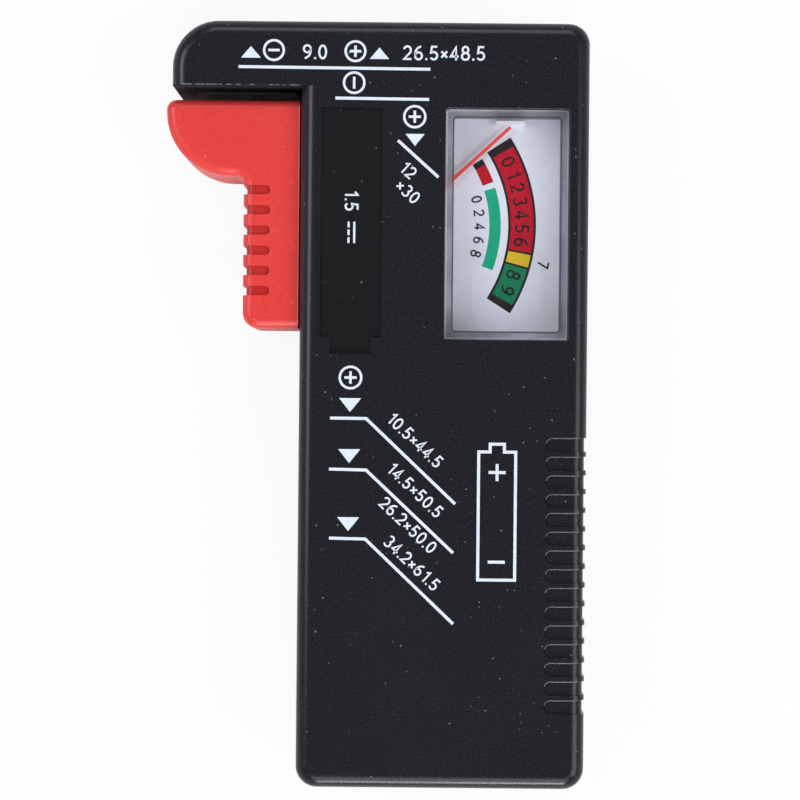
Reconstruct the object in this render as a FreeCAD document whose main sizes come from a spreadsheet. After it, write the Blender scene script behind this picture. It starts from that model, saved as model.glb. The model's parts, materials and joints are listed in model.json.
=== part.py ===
import FreeCAD, Part
import Sketcher
import math
import os
from types import SimpleNamespace

# A battery tester that lies on its back. +Z is the normal of its face, +Y points to its head, +X to the
# right of a user who reads it. The origin is the centre of its box, on the surface that it lies on.

# Driving sizes: millimetres, plain counts, and degrees where the name says angle.
SIZES = {
    # Case of two halves, with a head that reaches out to the left
    "case_length": 108.0,
    "case_depth": 25.0,
    "body_width": 40.6,
    "head_reach": 18.25,
    "head_height": 9.2,
    "wall": 2.0,
    "face_wall": 2.0,
    "head_corner": 6.6,
    "case_corner": 3.0,
    "cavity_corner": 1.0,
    "front_round": 1.9,
    "back_round": 1.2,
    "seam_chamfer": 0.2,
    # Window, cell-shaped recess and grip slots of the front cover
    "window_width": 17.7,
    "window_height": 32.75,
    "window_right_margin": 2.7,
    "window_top_margin": 12.1,
    "window_corner": 0.6,
    "recess_width": 8.6,
    "recess_height": 32.3,
    "recess_left_margin": 2.85,
    "recess_top_margin": 12.25,
    "recess_depth": 0.3,
    "nub_width": 5.7,
    "nub_height": 2.3,
    "grip_count": 15,
    "grip_pitch": 2.635,
    "grip_width": 1.97,
    "grip_reach": 5.8,
    "grip_depth": 0.3,
    "grip_top_margin": 59.4,
    "grip_back_margin": 3.0,
    # Screws that close the case, from the back
    "screw_radius": 1.2,
    "screw_length": 12.0,
    "screw_head_radius": 2.3,
    "screw_head_height": 1.7,
    "screw_seat": 7.0,
    "screw_fit": 0.05,
    "screw_clearance": 0.2,
    "screw_head_clearance": 0.3,
    "screw_tip_clearance": 0.6,
    "driver_slot_width": 0.6,
    "driver_slot_length": 2.6,
    "driver_slot_depth": 0.9,
    "rear_boss_radius": 3.6,
    "front_boss_radius": 2.8,
    "boss_sink": 0.4,
    # Sliding jaw
    "slider_overreach": 0.95,
    "slider_depth": 19.0,
    "slider_length": 32.3,
    "slider_travel": 62.5,
    "slider_gap": 0.3,
    "jaw_gap": 1.8,
    "flag_height": 10.7,
    "flag_flat": 0.3,
    "flag_tip_corner": 1.4,
    "flag_inner_corner": 1.2,
    "bar_width": 7.9,
    "bar_corner": 2.2,
    "slider_round": 1.3,
    "notch_count": 6,
    "notch_pitch": 2.86,
    "notch_width": 1.3,
    "notch_reach": 3.8,
    "notch_depth": 0.5,
    "notch_top_margin": 2.0,
    "neck_height": 5.0,
    "neck_length": 20.0,
    "flange_height": 9.0,
    "flange_thickness": 1.6,
    "slot_gap": 0.25,
    # Contacts, bent from one thickness of strip
    "strip": 0.4,
    "contact_width": 4.6,
    "contact_inset": 3.0,
    "contact_end_margin": 1.0,
    "slit_gap": 0.1,
    "nine_volt_spacing": 12.7,
    "nine_volt_inset": 7.25,
    "nine_volt_plate": 4.8,
    "nine_volt_negative_tail": 5.6,
    "nine_volt_positive_tail": 3.4,
    "head_tail_reach": 3.4,
    "ridge_gap": 0.1,
    "ridge_width": 0.8,
    "ridge_height": 0.23,
    "ridge_length": 8.0,
    # Return spring and its two hooks
    "spring_wire": 0.4,
    "spring_outer": 3.5,
    "spring_turns": 14,
    "spring_lead_in": 1.8,
    "spring_floor_gap": 0.4,
    "hook_hole_radius": 0.55,
    "hook_margin": 1.3,
    "anchor_top_margin": 3.3,
    "anchor_height": 8.5,
    "anchor_hold": 2.4,
    "anchor_rib_width": 1.6,
    "anchor_rib_height": 4.5,
    # Meter: tray, dial plate and clear cover
    "meter_side_gap": 0.4,
    "meter_top_margin": 0.5,
    "meter_bottom_margin": 0.9,
    "meter_pad_radius": 1.2,
    "meter_pad_inset": 2.6,
    "tray_height": 11.0,
    "tray_wall": 1.1,
    "tray_floor": 1.2,
    "dial_thickness": 0.5,
    "dial_slot_width": 4.4,
    "dial_slot_reach": 2.0,
    "stop_length": 4.2,
    "stop_thickness": 0.4,
    "stop_height": 1.9,
    "stop_gap": 0.15,
    "cover_height": 5.0,
    "cover_wall": 1.0,
    "cap_gap": 0.25,
    "cap_wall": 1.1,
    "cap_roof": 1.1,
    "cap_sink": 0.3,
    # Meter movement
    "pivot_left_of_window": 7.7,
    "pivot_above_window": 14.75,
    "movement_side_gap": 0.3,
    "yoke_outer_radius": 6.4,
    "yoke_thickness": 1.2,
    "yoke_height": 4.6,
    "core_radius": 3.8,
    "bond_gap": 0.05,
    "spacer_width": 2.0,
    "spacer_height": 2.0,
    "coil_air_gap": 0.3,
    "coil_winding": 0.6,
    "coil_breadth": 1.6,
    "coil_floor_gap": 1.7,
    "coil_end_gap": 0.4,
    "staff_radius": 0.5,
    "staff_shoulder_gap": 0.2,
    "tip_radius": 0.2,
    "tip_length": 0.7,
    "tip_clearance": 0.05,
    "jewel_radius": 0.9,
    "jewel_height": 1.6,
    "jewel_bore_depth": 0.7,
    "jewel_rise": 0.5,
    "jewel_pointer_gap": 0.75,
    "bridge_thickness": 0.8,
    "bridge_width": 3.0,
    "bridge_reach": 1.6,
    "bridge_drop": 0.3,
    "hairspring_strip": 0.12,
    "hairspring_height": 0.3,
    "hairspring_half_turns": 7,
    "hairspring_inner_radius": 0.95,
    "hairspring_lift": 0.7,
    "pointer_length": 23.3,
    "pointer_width": 0.7,
    "pointer_thickness": 0.25,
    "pointer_lift": 1.0,
    "pointer_hub_radius": 1.3,
    "pointer_tail": 3.2,
    "pointer_weight_radius": 0.8,
    "pointer_rest_angle": 42.7,
    "terminal_width": 2.0,
    "terminal_thickness": 0.6,
    "terminal_height": 3.0,
    "terminal_reach": 3.0,
    "terminal_inner_reach": 1.0,
    "terminal_left_margin": 16.5,
    "terminal_spacing": 5.0,
    # Resistor board and what stands on it
    "board_width": 28.0,
    "board_height": 20.0,
    "board_thickness": 1.4,
    "board_standoff": 5.0,
    "board_left_margin": 5.7,
    "board_bottom_margin": 9.6,
    "board_post_radius": 2.2,
    "board_post_inset": 2.5,
    "board_screw_radius": 0.8,
    "board_screw_length": 5.0,
    "board_screw_head_radius": 1.7,
    "board_screw_head_height": 1.2,
    "resistor_pitch": 5.0,
    "resistor_top_margin": 5.5,
    "resistor_lift": 0.4,
    "resistor_wire_radius": 0.35,
    "resistor_wire_reach": 2.0,
    "resistor_cap_length": 1.8,
    "resistor_cap_step": 0.2,
    "load_resistor_radius": 2.0,
    "load_resistor_length": 11.0,
    "nine_volt_resistor_radius": 1.5,
    "nine_volt_resistor_length": 8.6,
    "meter_resistor_radius": 1.1,
    "meter_resistor_length": 6.3,
    # Insulated leads
    "lead_diameter": 1.2,
    "lead_bend": 2.0,
    "lead_level": 0.9,
    "lead_pitch": 2.5,
    "lead_left_margin": 9.2,
    "lead_board_margin": 1.5,
    "terminal_lead_run": 4.0,
    "slider_lead_level": 6.6,
    "slider_lead_offset": 1.5,
    "negative_lead_margin": 0.7,
    "nine_volt_lead_margin": 0.8,
    # How far a cutting shape runs past the face that it cuts
    "overrun": 1.0,
}

doc = FreeCAD.newDocument("battery_tester")
sheet = doc.addObject("Spreadsheet::Sheet", "Sizes")
for row, (alias, number) in enumerate(SIZES.items(), start=1):
    sheet.set(f"A{row}", alias)
    sheet.set(f"B{row}", str(number))
    sheet.setAlias(f"B{row}", alias)
doc.recompute()


class Size:
    """A length, kept with the formula over the sheet's cells that gives it."""

    def __init__(self, formula, value):
        self.formula = formula
        self.value = value

    def __add__(self, other):
        other = as_size(other)
        return Size(f"({self.formula} + {other.formula})", self.value + other.value)

    def __sub__(self, other):
        other = as_size(other)
        return Size(f"({self.formula} - {other.formula})", self.value - other.value)

    def __mul__(self, other):
        other = as_size(other)
        return Size(f"({self.formula} * {other.formula})", self.value * other.value)

    def __truediv__(self, other):
        other = as_size(other)
        return Size(f"({self.formula} / {other.formula})", self.value / other.value)

    def __neg__(self):
        return Size(f"(0 - {self.formula})", -self.value)


def as_size(number):
    return number if isinstance(number, Size) else Size(str(number), number)


size = SimpleNamespace(**{alias: Size(f"Sizes.{alias}", sheet.get(alias)) for alias in SIZES})
ZERO = as_size(0)
TOUCH = 1e-4


# Tools of the model: sketches, features, edges and primitives

def outline(*corners):
    """A closed outline. A corner is (x, y), or (x, y, centre_x, centre_y) where an arc leads on from it."""

    def add_to(sketch):
        first = sketch.GeometryCount
        count = len(corners)
        ends = []
        for index, corner in enumerate(corners):
            following = corners[(index + 1) % count]
            start = FreeCAD.Vector(corner[0].value, corner[1].value, 0)
            end = FreeCAD.Vector(following[0].value, following[1].value, 0)
            if len(corner) == 2:
                sketch.addGeometry(Part.LineSegment(start, end), False)
                ends.append((1, 2))
                continue
            centre = FreeCAD.Vector(corner[2].value, corner[3].value, 0)
            spoke_in = start - centre
            spoke_out = end - centre
            leftward = spoke_in.cross(spoke_out).z > 0
            angles = [math.atan2(spoke.y, spoke.x) for spoke in (spoke_in, spoke_out)]
            ring = Part.Circle(centre, FreeCAD.Vector(0, 0, 1), spoke_in.Length)
            low, high = angles if leftward else reversed(angles)
            sketch.addGeometry(Part.ArcOfCircle(ring, low, high), False)
            ends.append((1, 2) if leftward else (2, 1))
            tie(sketch, "DistanceX", first + index, 3, corner[2])
        for index, corner in enumerate(corners):
            following = (index + 1) % count
            near = (first + index, ends[index][1])
            far = (first + following, ends[following][0])
            sketch.addConstraint(Sketcher.Constraint("Coincident", *near, *far))
            tie(sketch, "DistanceX", first + index, ends[index][0], corner[0])
            tie(sketch, "DistanceY", first + index, ends[index][0], corner[1])

    return add_to


def rounded_outline(*corners):
    """An outline of square corners, some of them rounded. A corner is (x, y) or (x, y, radius)."""
    points = []
    for index, corner in enumerate(corners):
        x, y = corner[:2]
        if len(corner) == 2:
            points.append((x, y))
            continue
        radius = corner[2]
        before = corners[index - 1]
        after = corners[(index + 1) % len(corners)]
        back = (direction(x, before[0]), direction(y, before[1]))
        ahead = (direction(x, after[0]), direction(y, after[1]))
        centre = (x + radius * (back[0] + ahead[0]), y + radius * (back[1] + ahead[1]))
        points.append((x + radius * back[0], y + radius * back[1], *centre))
        points.append((x + radius * ahead[0], y + radius * ahead[1]))
    return outline(*points)


def direction(start, end):
    """Which way one coordinate goes to reach another: -1, 0 or 1."""
    return 0 if near(start.value, end.value) else int(math.copysign(1, end.value - start.value))


def rectangle(x_low, y_low, x_high, y_high):
    return outline((x_low, y_low), (x_high, y_low), (x_high, y_high), (x_low, y_high))


def rounded_rectangle(x_low, y_low, x_high, y_high, radius):
    return rounded_outline(
        (x_low, y_low, radius), (x_high, y_low, radius), (x_high, y_high, radius), (x_low, y_high, radius)
    )


def circle(x, y, radius):
    def add_to(sketch):
        centre = FreeCAD.Vector(x.value, y.value, 0)
        ring = sketch.addGeometry(Part.Circle(centre, FreeCAD.Vector(0, 0, 1), radius.value), False)
        tie(sketch, "DistanceX", ring, 3, x)
        tie(sketch, "DistanceY", ring, 3, y)
        rule = sketch.addConstraint(Sketcher.Constraint("Radius", ring, radius.value))
        sketch.setExpression(f"Constraints[{rule}]", radius.formula)

    return add_to


def tie(sketch, kind, geometry, point, length):
    """Hold a point of the sketch at a distance from the sketch's origin along one axis."""
    rule = sketch.addConstraint(Sketcher.Constraint(kind, -1, 1, geometry, point, length.value))
    sketch.setExpression(f"Constraints[{rule}]", length.formula)


def new_body(label):
    body = doc.addObject("PartDesign::Body", label)
    nodes[label] = body
    return body


def origin_feature(body, role):
    return next(item for item in body.Origin.OriginFeatures if item.Role == role)


def add_feature(kind, body, name, plane, low, high, outlines):
    """A pad or pocket between two levels along the plane's axis. The XZ plane looks down -Y."""
    sketch = body.newObject("Sketcher::SketchObject", f"{body.Name}_{name}_outline")
    sketch.AttachmentSupport = [(origin_feature(body, plane), "")]
    sketch.MapMode = "FlatFace"
    level = -high if plane == "XZ_Plane" else low
    sketch.setExpression("AttachmentOffset.Base.z", level.formula)
    for draw in outlines:
        draw(sketch)
    feature = body.newObject(kind, f"{body.Name}_{name}")
    feature.Profile = sketch
    feature.setExpression("Length", (high - low).formula)
    return feature


def pad(body, name, plane, low, high, *outlines):
    return add_feature("PartDesign::Pad", body, name, plane, low, high, outlines)


def pocket(body, name, plane, low, high, *outlines):
    feature = add_feature("PartDesign::Pocket", body, name, plane, low, high, outlines)
    feature.Reversed = True
    pockets.append(feature)
    return feature


def row_of(body, name, originals, pitch, count):
    """Repeat features downwards, towards -Y."""
    pattern = body.newObject("PartDesign::LinearPattern", f"{body.Name}_{name}")
    pattern.Originals = originals
    pattern.Direction = (origin_feature(body, "Y_Axis"), [""])
    pattern.Reversed = True
    pattern.setExpression("Length", (pitch * (count - 1)).formula)
    pattern.setExpression("Occurrences", count.formula)
    body.Tip = pattern


def treat_edges(kind, amount_name, body, name, amount, chosen):
    doc.recompute()
    base = body.Tip
    edges = [f"Edge{number}" for number, edge in enumerate(base.Shape.Edges, start=1) if chosen(edge)]
    feature = body.newObject(kind, f"{body.Name}_{name}")
    feature.Base = (base, edges)
    feature.setExpression(amount_name, amount.formula)


def fillet(body, name, radius, chosen):
    treat_edges("PartDesign::Fillet", "Radius", body, name, radius, chosen)


def chamfer(body, name, amount, chosen):
    treat_edges("PartDesign::Chamfer", "Size", body, name, amount, chosen)


def near(a, b):
    return abs(a - b) < TOUCH


def on_level(*levels):
    """Edges that lie flat at any of the levels along Z."""

    def chosen(edge):
        return any(all(near(tip.Z, level.value) for tip in edge.Vertexes) for level in levels)

    return chosen


def bind(item, **lengths):
    for name, length in lengths.items():
        item.setExpression(name, length.formula)


def place(item, x, y, z):
    item.setExpression("Placement.Base.x", x.formula)
    item.setExpression("Placement.Base.y", y.formula)
    item.setExpression("Placement.Base.z", z.formula)


def turn(item, angle):
    """Turn an object about the vertical through its own origin."""
    item.Placement = FreeCAD.Placement(item.Placement.Base, FreeCAD.Rotation(FreeCAD.Vector(0, 0, 1), 1))
    item.setExpression("Placement.Rotation.Angle", angle.formula)


def cylinder(name, x, y, low, high, radius):
    item = doc.addObject("Part::Cylinder", name)
    bind(item, Radius=radius, Height=high - low)
    place(item, x, y, low)
    return item


def cylinder_along_x(name, x_low, x_high, y, z, radius):
    item = doc.addObject("Part::Cylinder", name)
    item.Placement = FreeCAD.Placement(FreeCAD.Vector(), FreeCAD.Rotation(FreeCAD.Vector(0, 1, 0), 90))
    bind(item, Radius=radius, Height=x_high - x_low)
    place(item, x_low, y, z)
    return item


def sphere(name, x, y, z, radius):
    item = doc.addObject("Part::Sphere", name)
    bind(item, Radius=radius)
    place(item, x, y, z)
    return item


def box(name, x_low, x_high, y_low, y_high, z_low, z_high):
    item = doc.addObject("Part::Box", name)
    bind(item, Length=x_high - x_low, Width=y_high - y_low, Height=z_high - z_low)
    place(item, x_low, y_low, z_low)
    return item


def subtract(name, base, tool):
    item = doc.addObject("Part::Cut", name)
    item.Base = base
    item.Tool = tool
    return item


def common(name, base, tool):
    item = doc.addObject("Part::Common", name)
    item.Base = base
    item.Tool = tool
    return item


def fuse(name, *items):
    item = doc.addObject("Part::MultiFuse", name)
    item.Shapes = list(items)
    return item


def group(label, *items):
    """One node of several separate solids."""
    item = doc.addObject("Part::Compound", label)
    item.Links = list(items)
    nodes[label] = item


nodes = {}
pockets = []


# Places of the case

right = (size.body_width + size.head_reach + size.slider_overreach) / 2
left = right - size.body_width
head_left = left - size.head_reach
top = (size.case_length - size.ridge_height) / 2
bottom = top - size.case_length
under_head = top - size.head_height
front = size.case_depth
seam = size.case_depth / 2
inner_front = front - size.face_wall
inner_back = size.face_wall
inner_right = right - size.wall
inner_left = left + size.wall
inner_top = top - size.wall
inner_bottom = bottom + size.wall
inner_head_left = head_left + size.wall
inner_under_head = under_head + size.wall

CASE_OUTLINE = rounded_outline(
    (head_left, top, size.head_corner), (right, top, size.case_corner), (right, bottom, size.case_corner),
    (left, bottom, size.case_corner), (left, under_head), (head_left, under_head),
)
CAVITY_OUTLINE = rounded_outline(
    (inner_head_left, inner_top, size.head_corner - size.wall), (inner_right, inner_top, size.cavity_corner),
    (inner_right, inner_bottom, size.cavity_corner), (inner_left, inner_bottom, size.cavity_corner),
    (inner_left, inner_under_head), (inner_head_left, inner_under_head),
)

boss_inset = size.wall + size.rear_boss_radius - size.boss_sink
SCREW_PLACES = {
    "head": (head_left + size.head_corner, (top + under_head) / 2),
    "corner": (right - boss_inset, top - boss_inset),
    "foot": ((left + right) / 2, bottom + boss_inset),
}

# Places of the sliding jaw

slider_left = head_left - size.slider_overreach
slider_right = left - size.slider_gap
slider_top = under_head - size.jaw_gap
slider_bottom = slider_top - size.slider_length
flag_bottom = slider_top - size.flag_height
bar_left = slider_right - size.bar_width
slider_low = seam - size.slider_depth / 2
slider_high = seam + size.slider_depth / 2
neck_bottom = slider_top - size.neck_length
flange_left = inner_left + size.slider_gap
flange_right = flange_left + size.flange_thickness
slot_bottom = neck_bottom - size.slider_travel - size.slot_gap
slot_top = slider_top + size.strip + size.slot_gap
slot_half = size.neck_height / 2 + size.slot_gap

# Places of the contacts and the spring

contact_low = seam - size.contact_width / 2
contact_high = seam + size.contact_width / 2
positive_x = left + size.nine_volt_inset
negative_x = positive_x - size.nine_volt_spacing
positive_tail_end = top - size.strip - size.nine_volt_positive_tail
negative_tail_end = top - size.strip - size.nine_volt_negative_tail
spring_x = flange_right + size.strip / 2
spring_z = inner_back + size.spring_floor_gap + size.spring_outer / 2
hook_y = neck_bottom + size.hook_margin
anchor_y = inner_top - size.anchor_top_margin
anchor_end = anchor_y + size.hook_margin + size.anchor_hold - size.hook_margin / 2
anchor_hold_start = anchor_end - size.anchor_hold

# Places of the meter

window_right = right - size.window_right_margin
window_left = window_right - size.window_width
window_top = top - size.window_top_margin
window_bottom = window_top - size.window_height
pivot_x = window_left - size.pivot_left_of_window
pivot_y = window_bottom + size.pivot_above_window
meter_left = pivot_x - size.yoke_outer_radius - size.movement_side_gap - size.tray_wall
meter_right = inner_right - size.meter_side_gap
meter_top = window_top + size.meter_top_margin
meter_bottom = window_bottom - size.meter_bottom_margin
cover_top = inner_front
dial_top = cover_top - size.cover_height
tray_rim = dial_top - size.dial_thickness
tray_base = tray_rim - size.tray_height
tray_floor_top = tray_base + size.tray_floor
coil_low = tray_floor_top + size.coil_floor_gap
core_low = coil_low + size.coil_winding + size.coil_end_gap
core_high = core_low + size.yoke_height
coil_high = core_high + size.coil_end_gap + size.coil_winding
yoke_inner_radius = size.yoke_outer_radius - size.yoke_thickness
pointer_low = dial_top + size.pointer_lift
pointer_high = pointer_low + size.pointer_thickness
jewel_low = pointer_high + size.jewel_pointer_gap
bridge_low = jewel_low + size.bridge_drop
bridge_high = bridge_low + size.bridge_thickness
lower_jewel_top = tray_floor_top + size.jewel_rise
terminal_left = meter_left + size.terminal_left_margin
terminal_z = tray_base + size.terminal_height
terminal_end = meter_bottom - size.terminal_reach
TERMINAL_PLACES = (terminal_left, terminal_left + size.terminal_spacing)
METER_PADS = tuple(
    (x, y)
    for x in (meter_left + size.meter_pad_inset, meter_right - size.meter_pad_inset)
    for y in (meter_bottom + size.meter_pad_inset, meter_top - size.meter_pad_inset)
)

# Places of the resistor board

board_left = inner_left + size.board_left_margin
board_right = board_left + size.board_width
board_bottom = inner_bottom + size.board_bottom_margin
board_top = board_bottom + size.board_height
board_low = inner_back + size.board_standoff
board_high = board_low + size.board_thickness
BOARD_SCREWS = (
    (board_right - size.board_post_inset, board_top - size.board_post_inset),
    (board_left + size.board_post_inset, board_bottom + size.board_post_inset),
)


# The case

def slits():
    """Openings of one half of the case, which meet those of the other half at the seam."""
    over = size.overrun
    gap = size.slit_gap
    slot = rectangle(left - over, slot_bottom, inner_left + over, slot_top)
    head_slit = rectangle(
        negative_x - size.strip - gap, under_head - over, negative_x + gap, inner_under_head + over
    )
    negative_slit = rectangle(negative_x - gap, inner_top - over, negative_x + size.strip + gap, top + over)
    positive_slit = rectangle(positive_x - gap, inner_top - over, positive_x + size.strip + gap, top + over)
    return slot, (head_slit, negative_slit, positive_slit)


def case_half(label, low, high, face, edge_round, cavity_low, cavity_high):
    """The shell that both halves share: block, rounded edges, cavity, slider slot and contact slits."""
    half = new_body(label)
    pad(half, "block", "XY_Plane", low, high, CASE_OUTLINE)
    flat_at_face = on_level(face)
    fillet(
        half, "face_edges", edge_round,
        lambda edge: flat_at_face(edge) and not all(near(tip.Y, under_head.value) for tip in edge.Vertexes),
    )
    chamfer(half, "seam_edges", size.seam_chamfer, on_level(seam))
    pocket(half, "cavity", "XY_Plane", cavity_low, cavity_high, CAVITY_OUTLINE)
    front_half = low is seam
    slot, contact_slits = slits()
    slot_reach = (seam, seam + slot_half) if front_half else (seam - slot_half, seam)
    pocket(half, "slider_slot", "XY_Plane", *slot_reach, slot)
    slit_half = size.contact_width / 2 + size.slit_gap
    slit_reach = (seam, seam + slit_half) if front_half else (seam - slit_half, seam)
    pocket(half, "contact_slits", "XY_Plane", *slit_reach, *contact_slits)
    plate_half = size.nine_volt_plate / 2 + size.slit_gap
    seats = [
        rectangle(middle - plate_half, top - size.strip, middle + plate_half, top + size.overrun)
        for middle in (negative_x, positive_x)
    ]
    pocket(half, "contact_seats", "XY_Plane", *slit_reach, *seats)
    ridge_half = size.ridge_length / 2
    ridge_reach = (seam, seam + ridge_half) if front_half else (seam - ridge_half, seam)
    ridge_inner = plate_half + size.ridge_gap
    ridge_outer = ridge_inner + size.ridge_width
    ridge_levels = (top - size.strip, top + size.ridge_height)
    ridges = [
        rectangle(positive_x + near_side, ridge_levels[0], positive_x + far_side, ridge_levels[1])
        for near_side, far_side in ((-ridge_outer, -ridge_inner), (ridge_inner, ridge_outer))
    ]
    pad(half, "ridges", "XY_Plane", *ridge_reach, *ridges)
    return half


def make_front_cover():
    """Upper half: bosses for the screws, window, cell-shaped recess and grip slots round the right edge."""
    cover = case_half("front_cover", seam, front, front, size.front_round, seam, inner_front)
    over = size.overrun
    bosses = [circle(*spot, size.front_boss_radius) for spot in SCREW_PLACES.values()]
    pad(cover, "bosses", "XY_Plane", seam, inner_front, *bosses)
    pilots = [circle(*spot, size.screw_radius + size.screw_fit) for spot in SCREW_PLACES.values()]
    pilot_end = size.screw_seat + size.screw_length + size.screw_tip_clearance
    pocket(cover, "pilot_holes", "XY_Plane", seam, pilot_end, *pilots)
    window = rounded_rectangle(window_left, window_bottom, window_right, window_top, size.window_corner)
    pocket(cover, "window", "XY_Plane", inner_front - over, front + over, window)
    recess_left = left + size.recess_left_margin
    recess_right = recess_left + size.recess_width
    recess_top = top - size.recess_top_margin
    recess_bottom = recess_top - size.recess_height
    nub_left = (recess_left + recess_right - size.nub_width) / 2
    nub_right = nub_left + size.nub_width
    nub_bottom = recess_bottom - size.nub_height
    recess = outline(
        (recess_left, recess_top), (recess_left, recess_bottom), (nub_left, recess_bottom),
        (nub_left, nub_bottom), (nub_right, nub_bottom), (nub_right, recess_bottom),
        (recess_right, recess_bottom), (recess_right, recess_top),
    )
    pocket(cover, "recess", "XY_Plane", front - size.recess_depth, front + over, recess)
    grip_y = top - size.grip_top_margin
    grip_low = grip_y - size.grip_width / 2
    grip_high = grip_y + size.grip_width / 2
    grip_end = right - size.grip_reach + size.grip_width / 2
    round_start = right - size.front_round
    floor = front - size.grip_depth
    straight = pocket(
        cover, "grip", "XY_Plane", floor, front + over, rectangle(grip_end, grip_low, round_start, grip_high)
    )
    end = pocket(
        cover, "grip_end", "XY_Plane", floor, front + over, circle(grip_end, grip_y, size.grip_width / 2)
    )
    round_level = front - size.front_round
    wrap_outline = outline(
        (round_start, floor, round_start, round_level), (right - size.grip_depth, round_level),
        (right - size.grip_depth, seam - over), (right + over, seam - over),
        (right + over, front + over), (round_start, front + over),
    )
    wrap = pocket(cover, "grip_wrap", "XZ_Plane", grip_low, grip_high, wrap_outline)
    row_of(cover, "grips", [straight, end, wrap], size.grip_pitch, size.grip_count)


def make_rear_cover():
    """Lower half: counterbored bosses, meter pads, board posts, ribs of the spring's anchor, side grips."""
    cover = case_half("rear_cover", ZERO, seam, ZERO, size.back_round, inner_back, seam)
    over = size.overrun
    bosses = [circle(*spot, size.rear_boss_radius) for spot in SCREW_PLACES.values()]
    pad(cover, "bosses", "XY_Plane", inner_back, seam, *bosses)
    head_radius = size.screw_head_radius + size.screw_head_clearance
    sinks = [circle(*spot, head_radius) for spot in SCREW_PLACES.values()]
    pocket(cover, "screw_sinks", "XY_Plane", -over, size.screw_seat, *sinks)
    holes = [circle(*spot, size.screw_radius + size.screw_clearance) for spot in SCREW_PLACES.values()]
    pocket(cover, "screw_holes", "XY_Plane", size.screw_seat - over, seam + over, *holes)
    pads = [circle(*spot, size.meter_pad_radius) for spot in METER_PADS]
    pad(cover, "meter_pads", "XY_Plane", inner_back, tray_base, *pads)
    posts = [circle(*spot, size.board_post_radius) for spot in BOARD_SCREWS]
    pad(cover, "board_posts", "XY_Plane", inner_back, board_low, *posts)
    pilots = [circle(*spot, size.board_screw_radius + size.screw_fit) for spot in BOARD_SCREWS]
    pilot_end = board_high - size.board_screw_length - size.screw_fit
    pocket(cover, "board_pilots", "XY_Plane", pilot_end, board_low, *pilots)
    rib_inner = size.strip / 2
    rib_outer = rib_inner + size.anchor_rib_width
    ribs = [
        rectangle(spring_x + near_side, anchor_hold_start, spring_x + far_side, inner_top)
        for near_side, far_side in ((-rib_outer, -rib_inner), (rib_inner, rib_outer))
    ]
    pad(cover, "anchor_ribs", "XY_Plane", inner_back, inner_back + size.anchor_rib_height, *ribs)
    grip_y = top - size.grip_top_margin
    side = rectangle(
        right - size.grip_depth, grip_y - size.grip_width / 2, right + over, grip_y + size.grip_width / 2
    )
    groove = pocket(cover, "grip", "XY_Plane", size.grip_back_margin, seam + over, side)
    row_of(cover, "grips", [groove], size.grip_pitch, size.grip_count)


def make_case_screws():
    """Self-tapping screws with a cross in the head, which faces the back."""
    screws = []
    for name, (x, y) in SCREW_PLACES.items():
        seat = size.screw_seat
        head_low = seat - size.screw_head_height
        head = cylinder(f"{name}_screw_head", x, y, head_low, seat, size.screw_head_radius)
        shank = cylinder(f"{name}_screw_shank", x, y, seat, seat + size.screw_length, size.screw_radius)
        blank = fuse(f"{name}_screw_blank", head, shank)
        long_half = size.driver_slot_length / 2
        short_half = size.driver_slot_width / 2
        slot_low = head_low - size.overrun
        slot_high = head_low + size.driver_slot_depth
        slot_across = box(
            f"{name}_slot_across", x - long_half, x + long_half, y - short_half, y + short_half,
            slot_low, slot_high,
        )
        slot_along = box(
            f"{name}_slot_along", x - short_half, x + short_half, y - long_half, y + long_half,
            slot_low, slot_high,
        )
        cross = fuse(f"{name}_screw_cross", slot_across, slot_along)
        screws.append(subtract(f"{name}_screw", blank, cross))
    group("case_screws", *screws)


# The sliding jaw

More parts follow.
